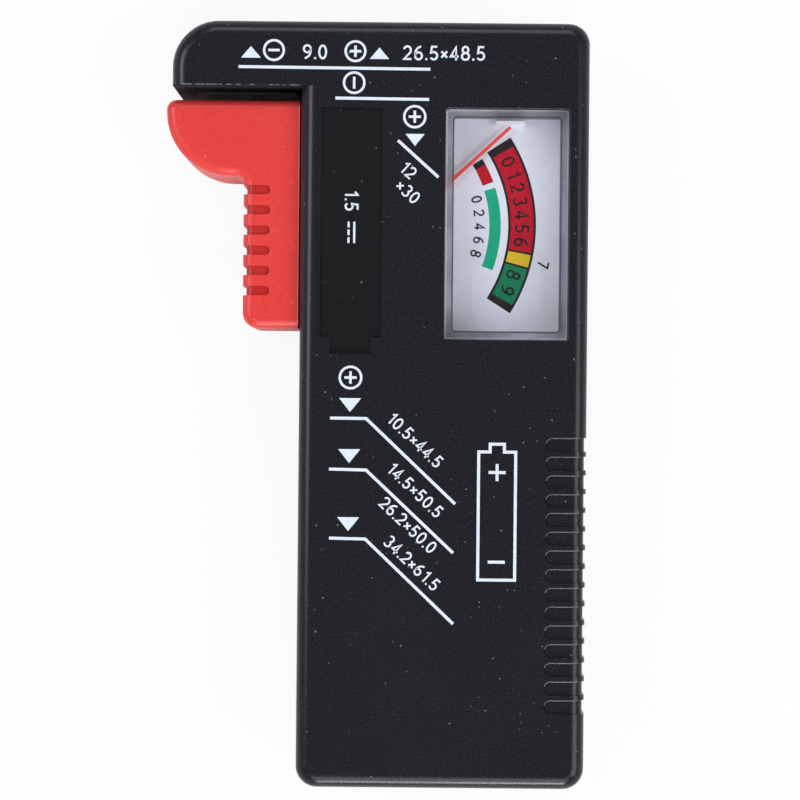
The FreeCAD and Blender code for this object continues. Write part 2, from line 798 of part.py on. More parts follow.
def make_slider():
    """Red moulding: flag, grip bar with notches round its left edge, neck through the slot, inner flange."""
    slider = new_body("slider")
    over = size.overrun
    flag_corner = size.flag_height - size.flag_tip_corner - size.flag_flat
    profile = rounded_outline(
        (slider_left, slider_top, size.flag_tip_corner), (slider_right, slider_top),
        (slider_right, slider_bottom), (bar_left, slider_bottom, size.bar_corner),
        (bar_left, flag_bottom, size.flag_inner_corner), (slider_left, flag_bottom, flag_corner),
    )
    pad(slider, "block", "XY_Plane", slider_low, slider_high, profile)
    flat_edges = on_level(slider_low, slider_high)
    fillet(
        slider, "edges", size.slider_round,
        lambda edge: flat_edges(edge) and not all(near(tip.X, slider_right.value) for tip in edge.Vertexes),
    )
    neck_half = size.neck_height / 2
    neck = rectangle(slider_right - over, neck_bottom, flange_right, slider_top)
    pad(slider, "neck", "XY_Plane", seam - neck_half, seam + neck_half, neck)
    flange_half = size.flange_height / 2
    flange = rectangle(flange_left, neck_bottom, flange_right, slider_top)
    pad(slider, "flange", "XY_Plane", seam - flange_half, seam + flange_half, flange)
    notch_y = flag_bottom - size.notch_top_margin
    notch_low = notch_y - size.notch_width / 2
    notch_high = notch_y + size.notch_width / 2
    notch_end = bar_left + size.notch_reach - size.notch_width / 2
    round_start = bar_left + size.slider_round
    straight = rectangle(round_start, notch_low, notch_end, notch_high)
    end = circle(notch_end, notch_y, size.notch_width / 2)
    front_floor = slider_high - size.notch_depth
    back_floor = slider_low + size.notch_depth
    front_centre = slider_high - size.slider_round
    back_centre = slider_low + size.slider_round
    side_floor = bar_left + size.notch_depth
    wrap = outline(
        (round_start, back_floor, round_start, back_centre), (side_floor, back_centre),
        (side_floor, front_centre, round_start, front_centre), (round_start, front_floor),
        (round_start, slider_high + over), (bar_left - over, slider_high + over),
        (bar_left - over, slider_low - over), (round_start, slider_low - over),
    )
    cuts = [
        pocket(slider, "notch_front", "XY_Plane", front_floor, slider_high + over, straight),
        pocket(slider, "notch_front_end", "XY_Plane", front_floor, slider_high + over, end),
        pocket(slider, "notch_back", "XY_Plane", slider_low - over, back_floor, straight),
        pocket(slider, "notch_back_end", "XY_Plane", slider_low - over, back_floor, end),
        pocket(slider, "notch_side", "XZ_Plane", notch_low, notch_high, wrap),
    ]
    row_of(slider, "notches", cuts, size.notch_pitch, size.notch_count)


def make_slider_contact():
    """Strip on the slider's top face, bent down behind the flange, with a tail that takes the spring."""
    contact = new_body("slider_contact")
    strip_right = flange_right + size.strip
    strip_top = slider_top + size.strip
    profile = outline(
        (slider_left + size.contact_inset, slider_top), (flange_right, slider_top),
        (flange_right, neck_bottom), (strip_right, neck_bottom),
        (strip_right, strip_top), (slider_left + size.contact_inset, strip_top),
    )
    pad(contact, "strip", "XY_Plane", contact_low, contact_high, profile)
    tail = rectangle(neck_bottom, spring_z - size.hook_margin, neck_bottom + size.hook_margin * 2, seam)
    pad(contact, "tail", "YZ_Plane", flange_right, strip_right, tail)
    hole = circle(hook_y, spring_z, size.hook_hole_radius)
    over = size.overrun
    pocket(contact, "hook_hole", "YZ_Plane", flange_right - over, strip_right + over, hole)


# The fixed contacts and the spring

def make_head_contact():
    """Strip under the head, with a tail through the slit into the case."""
    contact = new_body("head_contact")
    plate_left = head_left + size.contact_inset
    plate_right = left - size.contact_end_margin
    plate_low = under_head - size.strip
    tail_end = inner_under_head + size.head_tail_reach
    profile = outline(
        (plate_left, plate_low), (plate_right, plate_low), (plate_right, under_head),
        (negative_x, under_head), (negative_x, tail_end), (negative_x - size.strip, tail_end),
        (negative_x - size.strip, under_head), (plate_left, under_head),
    )
    pad(contact, "strip", "XY_Plane", contact_low, contact_high, profile)


def make_nine_volt_contact(label, middle, tail_end):
    """Plate in a seat of the top edge, with a tail through the slit into the case."""
    contact = new_body(label)
    plate_half = size.nine_volt_plate / 2
    plate_low = top - size.strip
    profile = outline(
        (middle - plate_half, plate_low), (middle, plate_low), (middle, tail_end),
        (middle + size.strip, tail_end), (middle + size.strip, plate_low),
        (middle + plate_half, plate_low), (middle + plate_half, top), (middle - plate_half, top),
    )
    pad(contact, "strip", "XY_Plane", contact_low, contact_high, profile)


def make_spring_anchor():
    """Tag that stands between two ribs of the rear cover, with a hole for the spring's fixed hook."""
    anchor = new_body("spring_anchor")
    half = size.strip / 2
    tag = rectangle(anchor_y - size.hook_margin, inner_back, anchor_end, inner_back + size.anchor_height)
    pad(anchor, "tag", "YZ_Plane", spring_x - half, spring_x + half, tag)
    hole = circle(anchor_y, spring_z, size.hook_hole_radius)
    over = size.overrun
    pocket(anchor, "hook_hole", "YZ_Plane", spring_x - half - over, spring_x + half + over, hole)


def bent_between(start, heading, end, end_heading):
    """Two arcs that leave a point along one heading and reach another point along a second heading."""
    reach = end - start
    both = heading + end_heading
    spread = 2 * (1 - heading.dot(end_heading))
    along = reach.dot(both)
    if spread < TOUCH:
        step = reach.dot(reach) / (2 * along)
    else:
        step = (math.sqrt(along * along + spread * reach.dot(reach)) - along) / spread
    first_apex = start + heading * step
    second_apex = end - end_heading * step
    joint = (first_apex + second_apex) * 0.5
    edges = []
    for near_end, apex, far_end in ((start, first_apex, joint), (joint, second_apex, end)):
        chord_middle = (near_end + far_end) * 0.5
        cosine = (far_end - near_end).Length / 2 / step
        arc_middle = chord_middle + (apex - chord_middle) * (cosine / (1 + cosine))
        edges.append(Part.Arc(near_end, arc_middle, far_end).toShape())
    return edges


def tube_along(path, profile):
    shell = Part.BRepOffsetAPI.MakePipeShell(path)
    shell.add(profile)
    shell.build()
    shell.makeSolid()
    return shell.shape()


def least_gap(path, thickness):
    """The smallest clear distance between two stretches of a round wire, measured on points along it."""
    points = path.discretize(Number=1200)
    step = path.Length / (len(points) - 1)
    apart = int(math.pi * thickness * 2 / step)
    return min(
        (points[first] - points[second]).Length - thickness
        for first in range(len(points))
        for second in range(first + apart, len(points))
    )


def add_shape(label, shape):
    item = doc.addObject("Part::Feature", label)
    item.Shape = shape
    item.Placement = FreeCAD.Placement()
    nodes[label] = item


def make_slider_spring():
    """Extension spring: a loop through the slider contact's tail, open turns, a loop through the anchor."""
    radius = (size.spring_outer.value - size.spring_wire.value) / 2
    x = spring_x.value
    z = spring_z.value
    low_centre = hook_y.value + radius
    high_centre = anchor_y.value - radius
    first_turn = low_centre + size.spring_lead_in.value
    last_turn = high_centre - size.spring_lead_in.value
    half_turns = 2 * int(size.spring_turns.value)
    half_pitch = (last_turn - first_turn) / half_turns
    stations = []
    for angle in (110, 180, 270, 360):
        bearing = math.radians(angle)
        spoke = FreeCAD.Vector(math.cos(bearing), math.sin(bearing), 0)
        heading = FreeCAD.Vector(-spoke.y, spoke.x, 0)
        stations.append((FreeCAD.Vector(x, low_centre, z) + spoke * radius, heading))
    for half_turn in range(half_turns + 1):
        side = 1 if half_turn % 2 == 0 else -1
        spot = FreeCAD.Vector(x, first_turn + half_turn * half_pitch, z + side * radius)
        heading = FreeCAD.Vector(-side * radius, half_pitch / math.pi, 0).normalize()
        stations.append((spot, heading))
    for angle in (180, 90, 0, -70):
        bearing = math.radians(angle)
        spoke = FreeCAD.Vector(math.cos(bearing), math.sin(bearing), 0)
        heading = FreeCAD.Vector(spoke.y, -spoke.x, 0)
        stations.append((FreeCAD.Vector(x, high_centre, z) + spoke * radius, heading))
    edges = []
    for (start, heading), (end, end_heading) in zip(stations, stations[1:]):
        edges += bent_between(start, heading, end, end_heading)
    path = Part.Wire(edges)
    section = Part.Wire(Part.makeCircle(size.spring_wire.value / 2, *stations[0]))
    spring = tube_along(path, section)
    wire_area = math.pi * (size.spring_wire.value / 2) ** 2
    print(f"slider_spring volume {spring.Volume:.3f}, section times length {wire_area * path.Length:.3f}")
    print(f"slider_spring least gap to itself {least_gap(path, size.spring_wire.value):.3f}")
    add_shape("slider_spring", spring)


# The meter

def make_meter_base():
    """Tray with a ring seat for the yoke, a hole for the lower jewel and slots in its lower wall."""
    tray = new_body("meter_base")
    over = size.overrun
    pad(
        tray, "block", "XY_Plane", tray_base, tray_rim,
        rectangle(meter_left, meter_bottom, meter_right, meter_top),
    )
    inner = rectangle(
        meter_left + size.tray_wall, meter_bottom + size.tray_wall,
        meter_right - size.tray_wall, meter_top - size.tray_wall,
    )
    pocket(tray, "inside", "XY_Plane", tray_floor_top, tray_rim + over, inner)
    seat = (circle(pivot_x, pivot_y, size.yoke_outer_radius), circle(pivot_x, pivot_y, yoke_inner_radius))
    pad(tray, "yoke_seat", "XY_Plane", tray_floor_top, core_low, *seat)
    jewel_hole = circle(pivot_x, pivot_y, size.jewel_radius)
    pocket(tray, "jewel_hole", "XY_Plane", tray_base - over, tray_floor_top + over, jewel_hole)
    half_width = size.terminal_width / 2
    half_thickness = size.terminal_thickness / 2
    tag_slots = [
        rectangle(x - half_width, terminal_z - half_thickness, x + half_width, terminal_z + half_thickness)
        for x in TERMINAL_PLACES
    ]
    slot_reach = (meter_bottom - over, meter_bottom + size.tray_wall + over)
    pocket(tray, "terminal_slots", "XZ_Plane", *slot_reach, *tag_slots)


def make_dial_plate():
    """Plate on the tray's rim, slotted for the movement, with a bent stop that the pointer rests on."""
    plate = new_body("dial_plate")
    pad(
        plate, "plate", "XY_Plane", tray_rim, dial_top,
        rectangle(meter_left, meter_bottom, meter_right, meter_top),
    )
    slot_half_width = size.dial_slot_width / 2
    slot = rectangle(
        meter_left - size.overrun, pivot_y - slot_half_width,
        pivot_x + size.dial_slot_reach, pivot_y + slot_half_width,
    )
    pocket(plate, "movement_slot", "XY_Plane", tray_rim - size.overrun, dial_top + size.overrun, slot)
    angle = size.pointer_rest_angle.formula
    rest_cosine = Size(f"cos({angle} * 1 deg)", math.cos(math.radians(size.pointer_rest_angle.value)))
    rest_sine = Size(f"sin({angle} * 1 deg)", math.sin(math.radians(size.pointer_rest_angle.value)))
    tip_x = pivot_x + size.pointer_length * rest_cosine
    tip_y = pivot_y + size.pointer_length * rest_sine + size.pointer_width / 2 * rest_cosine
    stop_low = tip_y + size.stop_gap
    stop = rectangle(
        tip_x - size.stop_length / 2, stop_low, tip_x + size.stop_length / 2, stop_low + size.stop_thickness
    )
    pad(plate, "pointer_stop", "XY_Plane", tray_rim, dial_top + size.stop_height, stop)


def make_meter_cover():
    """Clear cover: a low box over the tray and a raised cap that fills the window of the front cover."""
    cover = new_body("meter_cover")
    pad(
        cover, "box", "XY_Plane", dial_top, cover_top,
        rectangle(meter_left, meter_bottom, meter_right, meter_top),
    )
    cap_left = window_left + size.cap_gap
    cap_right = window_right - size.cap_gap
    cap_low = window_bottom + size.cap_gap
    cap_high = window_top - size.cap_gap
    cap_top = front - size.cap_sink
    cap = rounded_rectangle(cap_left, cap_low, cap_right, cap_high, size.window_corner)
    pad(cover, "cap", "XY_Plane", cover_top, cap_top, cap)
    inner = rectangle(
        meter_left + size.cover_wall, meter_bottom + size.cover_wall,
        meter_right - size.cover_wall, meter_top - size.cover_wall,
    )
    pocket(cover, "inside", "XY_Plane", dial_top - size.overrun, cover_top - size.cover_wall, inner)
    cap_inner = rectangle(
        cap_left + size.cap_wall, cap_low + size.cap_wall,
        cap_right - size.cap_wall, cap_high - size.cap_wall,
    )
    pocket(cover, "cap_inside", "XY_Plane", dial_top - size.overrun, cap_top - size.cap_roof, cap_inner)


def make_magnetic_circuit():
    """Soft-iron yoke ring on its seat, round core magnet, and two spacers that hold the core in the ring."""
    yoke_outer = cylinder("yoke_outside", pivot_x, pivot_y, core_low, core_high, size.yoke_outer_radius)
    yoke_inner = cylinder(
        "yoke_inside", pivot_x, pivot_y, core_low - size.overrun, core_high + size.overrun, yoke_inner_radius
    )
    nodes["yoke_ring"] = subtract("yoke_ring", yoke_outer, yoke_inner)
    nodes["core_magnet"] = cylinder("core_magnet", pivot_x, pivot_y, core_low, core_high, size.core_radius)
    spacer_low = (core_low + core_high - size.spacer_height) / 2
    spacer_high = spacer_low + size.spacer_height
    gap_outside = cylinder(
        "air_gap_outside", pivot_x, pivot_y, spacer_low, spacer_high, yoke_inner_radius - size.bond_gap
    )
    gap_inside = cylinder(
        "air_gap_inside", pivot_x, pivot_y, spacer_low - size.overrun, spacer_high + size.overrun,
        size.core_radius + size.bond_gap,
    )
    air_gap = subtract("air_gap", gap_outside, gap_inside)
    bar = box(
        "spacer_bar", pivot_x - size.yoke_outer_radius, pivot_x + size.yoke_outer_radius,
        pivot_y - size.spacer_width / 2, pivot_y + size.spacer_width / 2, spacer_low, spacer_high,
    )
    nodes["core_spacers"] = common("core_spacers", air_gap, bar)


def make_moving_coil():
    """Wound frame round the core, square to the pointer, drawn about its own axis and then placed."""
    coil = new_body("moving_coil")
    inner_half = size.core_radius + size.coil_air_gap
    outer_half = inner_half + size.coil_winding
    half_breadth = size.coil_breadth / 2
    outside = rectangle(-outer_half, coil_low, outer_half, coil_high)
    inside = rectangle(
        -inner_half, coil_low + size.coil_winding, inner_half, coil_high - size.coil_winding
    )
    pad(coil, "frame", "XZ_Plane", -half_breadth, half_breadth, outside, inside)
    turn(coil, size.pointer_rest_angle + 90)
    place(coil, pivot_x, pivot_y, ZERO)


def make_coil_pivots():
    """Upper staff, which carries the pointer, and lower staff; each ends in a fine tip in its jewel."""
    shoulder = jewel_low - size.staff_shoulder_gap
    upper = fuse(
        "upper_pivot",
        cylinder("upper_staff", pivot_x, pivot_y, coil_high, shoulder, size.staff_radius),
        cylinder("upper_tip", pivot_x, pivot_y, shoulder, shoulder + size.tip_length, size.tip_radius),
    )
    lower_shoulder = lower_jewel_top + size.staff_shoulder_gap
    lower = fuse(
        "lower_pivot",
        cylinder("lower_staff", pivot_x, pivot_y, lower_shoulder, coil_low, size.staff_radius),
        cylinder(
            "lower_tip", pivot_x, pivot_y, lower_shoulder - size.tip_length, lower_shoulder, size.tip_radius
        ),
    )
    group("coil_pivots", upper, lower)


def make_pointer():
    """Flat needle with a round hub and a weighted tail, drawn along +X and turned to its rest angle."""
    pointer = new_body("pointer")
    half = size.pointer_width / 2
    levels = (pointer_low, pointer_high)
    pad(pointer, "hub", "XY_Plane", *levels, circle(ZERO, ZERO, size.pointer_hub_radius))
    arm = rectangle(-size.pointer_tail, -half, size.pointer_length, half)
    pad(pointer, "arm", "XY_Plane", *levels, arm)
    weight_x = size.pointer_weight_radius - size.pointer_tail
    pad(pointer, "weight", "XY_Plane", *levels, circle(weight_x, ZERO, size.pointer_weight_radius))
    bore = circle(ZERO, ZERO, size.staff_radius)
    pocket(pointer, "bore", "XY_Plane", pointer_low - size.overrun, pointer_high + size.overrun, bore)
    turn(pointer, size.pointer_rest_angle)
    place(pointer, pivot_x, pivot_y, ZERO)


def make_jewel_bridge():
    """Bracket on the yoke, whose arm reaches over the pointer's hub to hold the upper jewel."""
    bridge = new_body("jewel_bridge")
    post_left = pivot_x - size.yoke_outer_radius
    post_right = pivot_x - yoke_inner_radius
    arm_end = pivot_x + size.bridge_reach
    profile = outline(
        (post_left, core_high), (post_right, core_high), (post_right, bridge_low),
        (arm_end, bridge_low), (arm_end, bridge_high), (post_left, bridge_high),
    )
    half = size.bridge_width / 2
    pad(bridge, "bracket", "XZ_Plane", pivot_y - half, pivot_y + half, profile)
    hole = circle(pivot_x, pivot_y, size.jewel_radius)
    over = size.overrun
    pocket(bridge, "jewel_hole", "XY_Plane", bridge_low - over, bridge_high + over, hole)


def make_jewel_screws():
    """Two bearing screws, with blind bores that the pivots' tips turn in."""
    screws = []
    bore_radius = size.tip_radius + size.tip_clearance
    outside = size.jewel_radius - size.bond_gap
    jewel_top = jewel_low + size.jewel_height
    upper = cylinder("upper_jewel_blank", pivot_x, pivot_y, jewel_low, jewel_top, outside)
    upper_bore = cylinder(
        "upper_jewel_bore", pivot_x, pivot_y, jewel_low - size.overrun, jewel_low + size.jewel_bore_depth,
        bore_radius,
    )
    screws.append(subtract("upper_jewel", upper, upper_bore))
    lower = cylinder(
        "lower_jewel_blank", pivot_x, pivot_y, lower_jewel_top - size.jewel_height, lower_jewel_top, outside
    )
    lower_bore = cylinder(
        "lower_jewel_bore", pivot_x, pivot_y, lower_jewel_top - size.jewel_bore_depth,
        lower_jewel_top + size.overrun, bore_radius,
    )
    screws.append(subtract("lower_jewel", lower, lower_bore))
    group("jewel_screws", *screws)


def hairspring(low, outer_radius):
    """Flat spiral of half circles on the movement's axis, whose outer end reaches the given radius."""
    half_turns = int(size.hairspring_half_turns.value)
    inner_radius = size.hairspring_inner_radius.value
    growth = (outer_radius - inner_radius) / half_turns
    middle = low + size.hairspring_height.value / 2
    centre = FreeCAD.Vector(pivot_x.value, pivot_y.value, middle)
    ends = [
        centre + FreeCAD.Vector((inner_radius + growth * index) * (-1) ** index, 0, 0)
        for index in range(half_turns + 1)
    ]
    edges = []
    for index, (start, end) in enumerate(zip(ends, ends[1:])):
        crown = FreeCAD.Vector(0, (end - start).Length / 2 * (-1) ** index, 0)
        edges.append(Part.Arc(start, (start + end) * 0.5 + crown, end).toShape())
    across = FreeCAD.Vector(size.hairspring_strip.value / 2, 0, 0)
    up = FreeCAD.Vector(0, 0, size.hairspring_height.value / 2)
    start = ends[0]
    corners = [start - across - up, start + across - up, start + across + up, start - across + up]
    section = Part.makePolygon(corners + corners[:1])
    return tube_along(Part.Wire(edges), section)


def make_hairsprings():
    """One spiral above the coil, which ends at the bridge's post, and one below, which ends at the seat."""
    reach = yoke_inner_radius.value - size.bond_gap.value - size.hairspring_strip.value / 2
    upper = hairspring(coil_high.value + size.hairspring_lift.value, reach)
    lower = hairspring(coil_low.value - size.hairspring_lift.value - size.hairspring_height.value, reach)
    add_shape("hairsprings", Part.makeCompound([upper, lower]))


def make_meter_terminals():
    """Solder tags that stand out of the tray's lower wall."""
    half_width = size.terminal_width / 2
    half_thickness = size.terminal_thickness / 2
    inner_end = meter_bottom + size.tray_wall + size.terminal_inner_reach
    tags = [
        box(
            f"terminal_{number}", x - half_width, x + half_width, terminal_end, inner_end,
            terminal_z - half_thickness, terminal_z + half_thickness,
        )
        for number, x in enumerate(TERMINAL_PLACES, start=1)
    ]
    group("meter_terminals", *tags)


# The resistor board

def make_resistor_board():
    board = new_body("resistor_board")
    over = size.overrun
    pad(
        board, "plate", "XY_Plane", board_low, board_high,
        rectangle(board_left, board_bottom, board_right, board_top),
    )
    holes = [circle(*spot, size.board_screw_radius + size.screw_clearance) for spot in BOARD_SCREWS]
    pocket(board, "screw_holes", "XY_Plane", board_low - over, board_high + over, *holes)


def make_board_screws():
    screws = []
    for number, (x, y) in enumerate(BOARD_SCREWS, start=1):
        head = cylinder(
            f"board_screw_head_{number}", x, y, board_high, board_high + size.board_screw_head_height,
            size.board_screw_head_radius,
        )
        shank = cylinder(
            f"board_screw_shank_{number}", x, y, board_high - size.board_screw_length, board_high,
            size.board_screw_radius,
        )
        screws.append(fuse(f"board_screw_{number}", head, shank))
    group("board_screws", *screws)


def make_resistor(label, place_in_row, radius, length):
    """Resistor that lies along X: body, end caps, and wires bent down to the board."""
    x = (board_left + board_right) / 2
    y = board_top - size.resistor_top_margin - size.resistor_pitch * place_in_row
    cap_radius = radius + size.resistor_cap_step
    z = board_high + size.resistor_lift + cap_radius
    wire = size.resistor_wire_radius
    body_left = x - length / 2
    body_right = x + length / 2
    wire_left = body_left - size.resistor_wire_reach
    wire_right = body_right + size.resistor_wire_reach
    cap = size.resistor_cap_length
    nodes[label] = fuse(
        label,
        cylinder_along_x(f"{label}_body", body_left, body_right, y, z, radius),
        cylinder_along_x(f"{label}_left_cap", body_left, body_left + cap, y, z, cap_radius),
        cylinder_along_x(f"{label}_right_cap", body_right - cap, body_right, y, z, cap_radius),
        cylinder_along_x(f"{label}_wire", wire_left, wire_right, y, z, wire),
        sphere(f"{label}_left_bend", wire_left, y, z, wire),
        sphere(f"{label}_right_bend", wire_right, y, z, wire),
        cylinder(f"{label}_left_leg", wire_left, y, board_high, z, wire),
        cylinder(f"{label}_right_leg", wire_right, y, board_high, z, wire),
    )


# The leads

def make_lead(label, *route):
    """Insulated wire along straight runs and tangent bends, held between two soldered ends."""
    points = [FreeCAD.Vector(x.value, y.value, z.value) for x, y, z in route]
    radius = size.lead_diameter.value / 2
    bend = size.lead_bend.value
    edges = []
    start = points[0]
    for before, corner, after in zip(points, points[1:], points[2:]):
        back = (before - corner).normalize()
        ahead = (after - corner).normalize()
        half_turn = (math.pi - back.getAngle(ahead)) / 2
        cut_back = bend * math.tan(half_turn)
        arc_start = corner + back * cut_back
        arc_end = corner + ahead * cut_back
        inward = (back + ahead).normalize()
        arc_middle = corner + inward * (bend / math.cos(half_turn) - bend)
        edges.append(Part.LineSegment(start, arc_start).toShape())
        edges.append(Part.Arc(arc_start, arc_middle, arc_end).toShape())
        start = arc_end
    edges.append(Part.LineSegment(start, points[-1]).toShape())
    path = Part.Wire(edges)
    section = Part.Wire(Part.makeCircle(radius, points[0], points[1] - points[0]))
    lead = tube_along(path, section)
    print(f"{label} bends {bend:.2f}, length {path.Length:.1f}, volume {lead.Volume:.3f}, "
          f"section times length {math.pi * radius ** 2 * path.Length:.3f}")
    add_shape(label, lead)


def make_leads():
    """Leads from the contacts and the meter, which run along the back to the underside of the board."""
    level = inner_back + size.lead_level
    end_y = board_top - size.lead_board_margin
    first_x = inner_left + size.lead_left_margin
    second_x = first_x + size.lead_pitch
    third_x = second_x + size.lead_pitch
    slider_z = inner_back + size.slider_lead_level
    slider_y = anchor_y + size.slider_lead_offset
    make_lead(
        "slider_lead",
        (spring_x + size.strip / 2, slider_y, slider_z), (first_x, slider_y, slider_z),
        (first_x, slider_y, level), (first_x, end_y, level), (first_x, end_y, board_low),
    )
    negative_y = negative_tail_end + size.negative_lead_margin
    make_lead(
        "negative_lead",
        (negative_x + size.strip, negative_y, seam), (second_x, negative_y, seam),
        (second_x, negative_y, level), (second_x, end_y, level), (second_x, end_y, board_low),
    )
    positive_y = positive_tail_end + size.nine_volt_lead_margin
    make_lead(
        "nine_volt_lead",
        (positive_x + size.strip, positive_y, seam), (third_x, positive_y, seam),
        (third_x, positive_y, level), (third_x, end_y, level), (third_x, end_y, board_low),
    )
    drop_y = terminal_end - size.terminal_lead_run
    for label, x in zip(("meter_negative_lead", "meter_positive_lead"), TERMINAL_PLACES):
        make_lead(
            label,
            (x, terminal_end, terminal_z), (x, drop_y, terminal_z), (x, drop_y, level),
            (x, end_y, level), (x, end_y, board_low),
        )


make_front_cover()
make_rear_cover()
make_case_screws()
make_slider()
make_slider_contact()
make_head_contact()
make_nine_volt_contact("nine_volt_positive_contact", positive_x, positive_tail_end)
make_nine_volt_contact("nine_volt_negative_contact", negative_x, negative_tail_end)
make_spring_anchor()
make_slider_spring()
make_meter_base()
make_dial_plate()
make_meter_cover()
make_magnetic_circuit()
make_moving_coil()
make_coil_pivots()
make_pointer()
make_jewel_bridge()
make_jewel_screws()
make_hairsprings()
make_meter_terminals()
make_resistor_board()
make_board_screws()
make_resistor("load_resistor", 0, size.load_resistor_radius, size.load_resistor_length)
make_resistor("nine_volt_resistor", 1, size.nine_volt_resistor_radius, size.nine_volt_resistor_length)
make_resistor("meter_resistor", 2, size.meter_resistor_radius, size.meter_resistor_length)
make_leads()
doc.recompute()

for item in doc.Objects:
    if "Invalid" in item.State or "Error" in item.State:
        raise RuntimeError(f"{item.Label} failed: {item.State}")
for feature in pockets:
    if feature.Shape.Volume >= feature.BaseFeature.Shape.Volume:
        raise RuntimeError(f"{feature.Label} cuts nothing")
for label, item in nodes.items():
    if item.Shape.isNull() or not item.Shape.isValid():
        raise RuntimeError(f"{label} has no valid shape")

os.makedirs("parts", exist_ok=True)
for label, item in nodes.items():
    item.Label = label
    item.Shape.exportStep(f"parts/{label}.step")
    print(f"{label}: {len(item.Shape.Solids)} solid, {item.Shape.Volume:.2f} mm3")
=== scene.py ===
import json
import math

import bmesh
import bpy
from mathutils import Matrix, Vector


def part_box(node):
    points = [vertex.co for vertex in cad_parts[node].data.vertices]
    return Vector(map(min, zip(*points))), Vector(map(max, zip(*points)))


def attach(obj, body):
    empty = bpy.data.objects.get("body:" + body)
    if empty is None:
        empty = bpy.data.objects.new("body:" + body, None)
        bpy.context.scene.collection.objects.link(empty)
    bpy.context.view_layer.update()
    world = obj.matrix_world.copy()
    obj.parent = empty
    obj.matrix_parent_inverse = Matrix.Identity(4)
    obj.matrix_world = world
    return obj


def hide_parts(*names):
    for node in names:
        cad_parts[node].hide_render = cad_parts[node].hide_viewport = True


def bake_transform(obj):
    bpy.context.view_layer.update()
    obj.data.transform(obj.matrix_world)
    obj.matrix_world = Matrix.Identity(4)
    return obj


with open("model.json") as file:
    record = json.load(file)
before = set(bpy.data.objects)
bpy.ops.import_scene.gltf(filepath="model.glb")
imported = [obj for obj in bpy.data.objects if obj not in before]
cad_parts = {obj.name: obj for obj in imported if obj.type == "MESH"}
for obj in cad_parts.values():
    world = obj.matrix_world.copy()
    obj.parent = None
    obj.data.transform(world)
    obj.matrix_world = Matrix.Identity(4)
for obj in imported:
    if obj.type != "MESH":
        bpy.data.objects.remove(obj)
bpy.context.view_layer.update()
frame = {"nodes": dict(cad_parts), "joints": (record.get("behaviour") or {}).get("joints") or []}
nodes = frame["nodes"]
scene = bpy.context.scene

# Case: a rear and a front half moulded in near-black plastic with a fine matt grain from the mould, screwed
# together from the back. The floor of the cell-shaped recess is smoother than the face round it, the wall
# under the head is rougher, and a little pale dust lies on all of it. A broken pale line along the front
# edge of the wall under the head is a painted highlight, in the dust's colour.

MM = 0.001
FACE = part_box("front_cover")[1].z
RECESS_DEPTH = 0.3 * MM
RECESS_SIDES = (-8.2 * MM, 3.0 * MM)
RECESS_ENDS = (5.0 * MM, 43.5 * MM)
RECESS_LEVELS = (FACE - RECESS_DEPTH * 1.2, FACE - RECESS_DEPTH / 2)
JAW_WALL = 44.685 * MM
JAW_WALL_END = -10.8 * MM
SKIN = 0.05 * MM
# Width of the painted highlight strips, on the head's lower edge and on the jaw's right edge.
HIGHLIGHT_WIDTH = 0.12 * MM
CASE_DARK = (0.0085, 0.0087, 0.0112)
CASE_PALE = (0.0205, 0.0208, 0.0265)
RECESS_BLACK = (0.0115, 0.0115, 0.0127)
# Pale dust; the same colour is the painted highlight on the head's lower edge.
DUST_AND_HIGHLIGHT = (0.17, 0.175, 0.19)
DUST_SPACING = 1.0 * MM
DUST_SIZE = 0.14 * MM
SPECK_RARITY = 4.0
CASE_GRAIN = 3400.0
CASE_PATCHES = 60.0
# Scale of the breaks in the painted highlight on the head's lower edge.
HIGHLIGHT_BREAKUP = 1500.0
CASE_SHEEN = (0.20, 0.25)
JAW_WALL_SHEEN = 0.85
CASE_SPECULAR = 0.3
CASE_BUMP = (0.3, 0.03 * MM)


def new_finish(name, roughness=0.5):
    """A material with its tree, its shader and the place that its patterns are drawn on."""
    material = bpy.data.materials.new(name)
    material.use_nodes = True
    tree = material.node_tree
    shader = tree.nodes["Principled BSDF"]
    shader.inputs["Roughness"].default_value = roughness
    place = tree.nodes.new("ShaderNodeTexCoord").outputs["Object"]
    return material, tree, shader, place


def split(tree, vector):
    """The X, Y and Z of a place or a direction."""
    node = tree.nodes.new("ShaderNodeSeparateXYZ")
    tree.links.new(vector, node.inputs["Vector"])
    return node.outputs


def noise(tree, place, scale, detail=3.0):
    """A cloudy pattern from 0 to 1, finer with a larger scale."""
    node = tree.nodes.new("ShaderNodeTexNoise")
    node.inputs["Scale"].default_value = scale
    node.inputs["Detail"].default_value = detail
    tree.links.new(place, node.inputs["Vector"])
    return node.outputs["Fac"]


def rgba(colour):
    """A colour, or a grey level, in the form that a socket takes."""
    red, green, blue = colour if isinstance(colour, tuple) else (colour, colour, colour)
    return (red, green, blue, 1.0)


def ramp(tree, factor, low, high, start=0.3, end=0.7):
    """Blend between two colours, or two grey levels, over a stretch of a factor."""
    node = tree.nodes.new("ShaderNodeValToRGB")
    for stop, position, colour in zip(node.color_ramp.elements, (start, end), (low, high)):
        stop.position = position
        stop.color = rgba(colour)
    tree.links.new(factor, node.inputs["Fac"])
    return node.outputs["Color"]


def mix(tree, factor, first, second):
    """One colour, grey level or pattern, with another one where a mask is 1."""
    node = tree.nodes.new("ShaderNodeMix")
    node.data_type = "RGBA"
    tree.links.new(factor, node.inputs["Factor"])
    for socket, colour in ((node.inputs[6], first), (node.inputs[7], second)):
        if isinstance(colour, (tuple, float)):
            socket.default_value = rgba(colour)
        else:
            tree.links.new(colour, socket)
    return node.outputs[2]


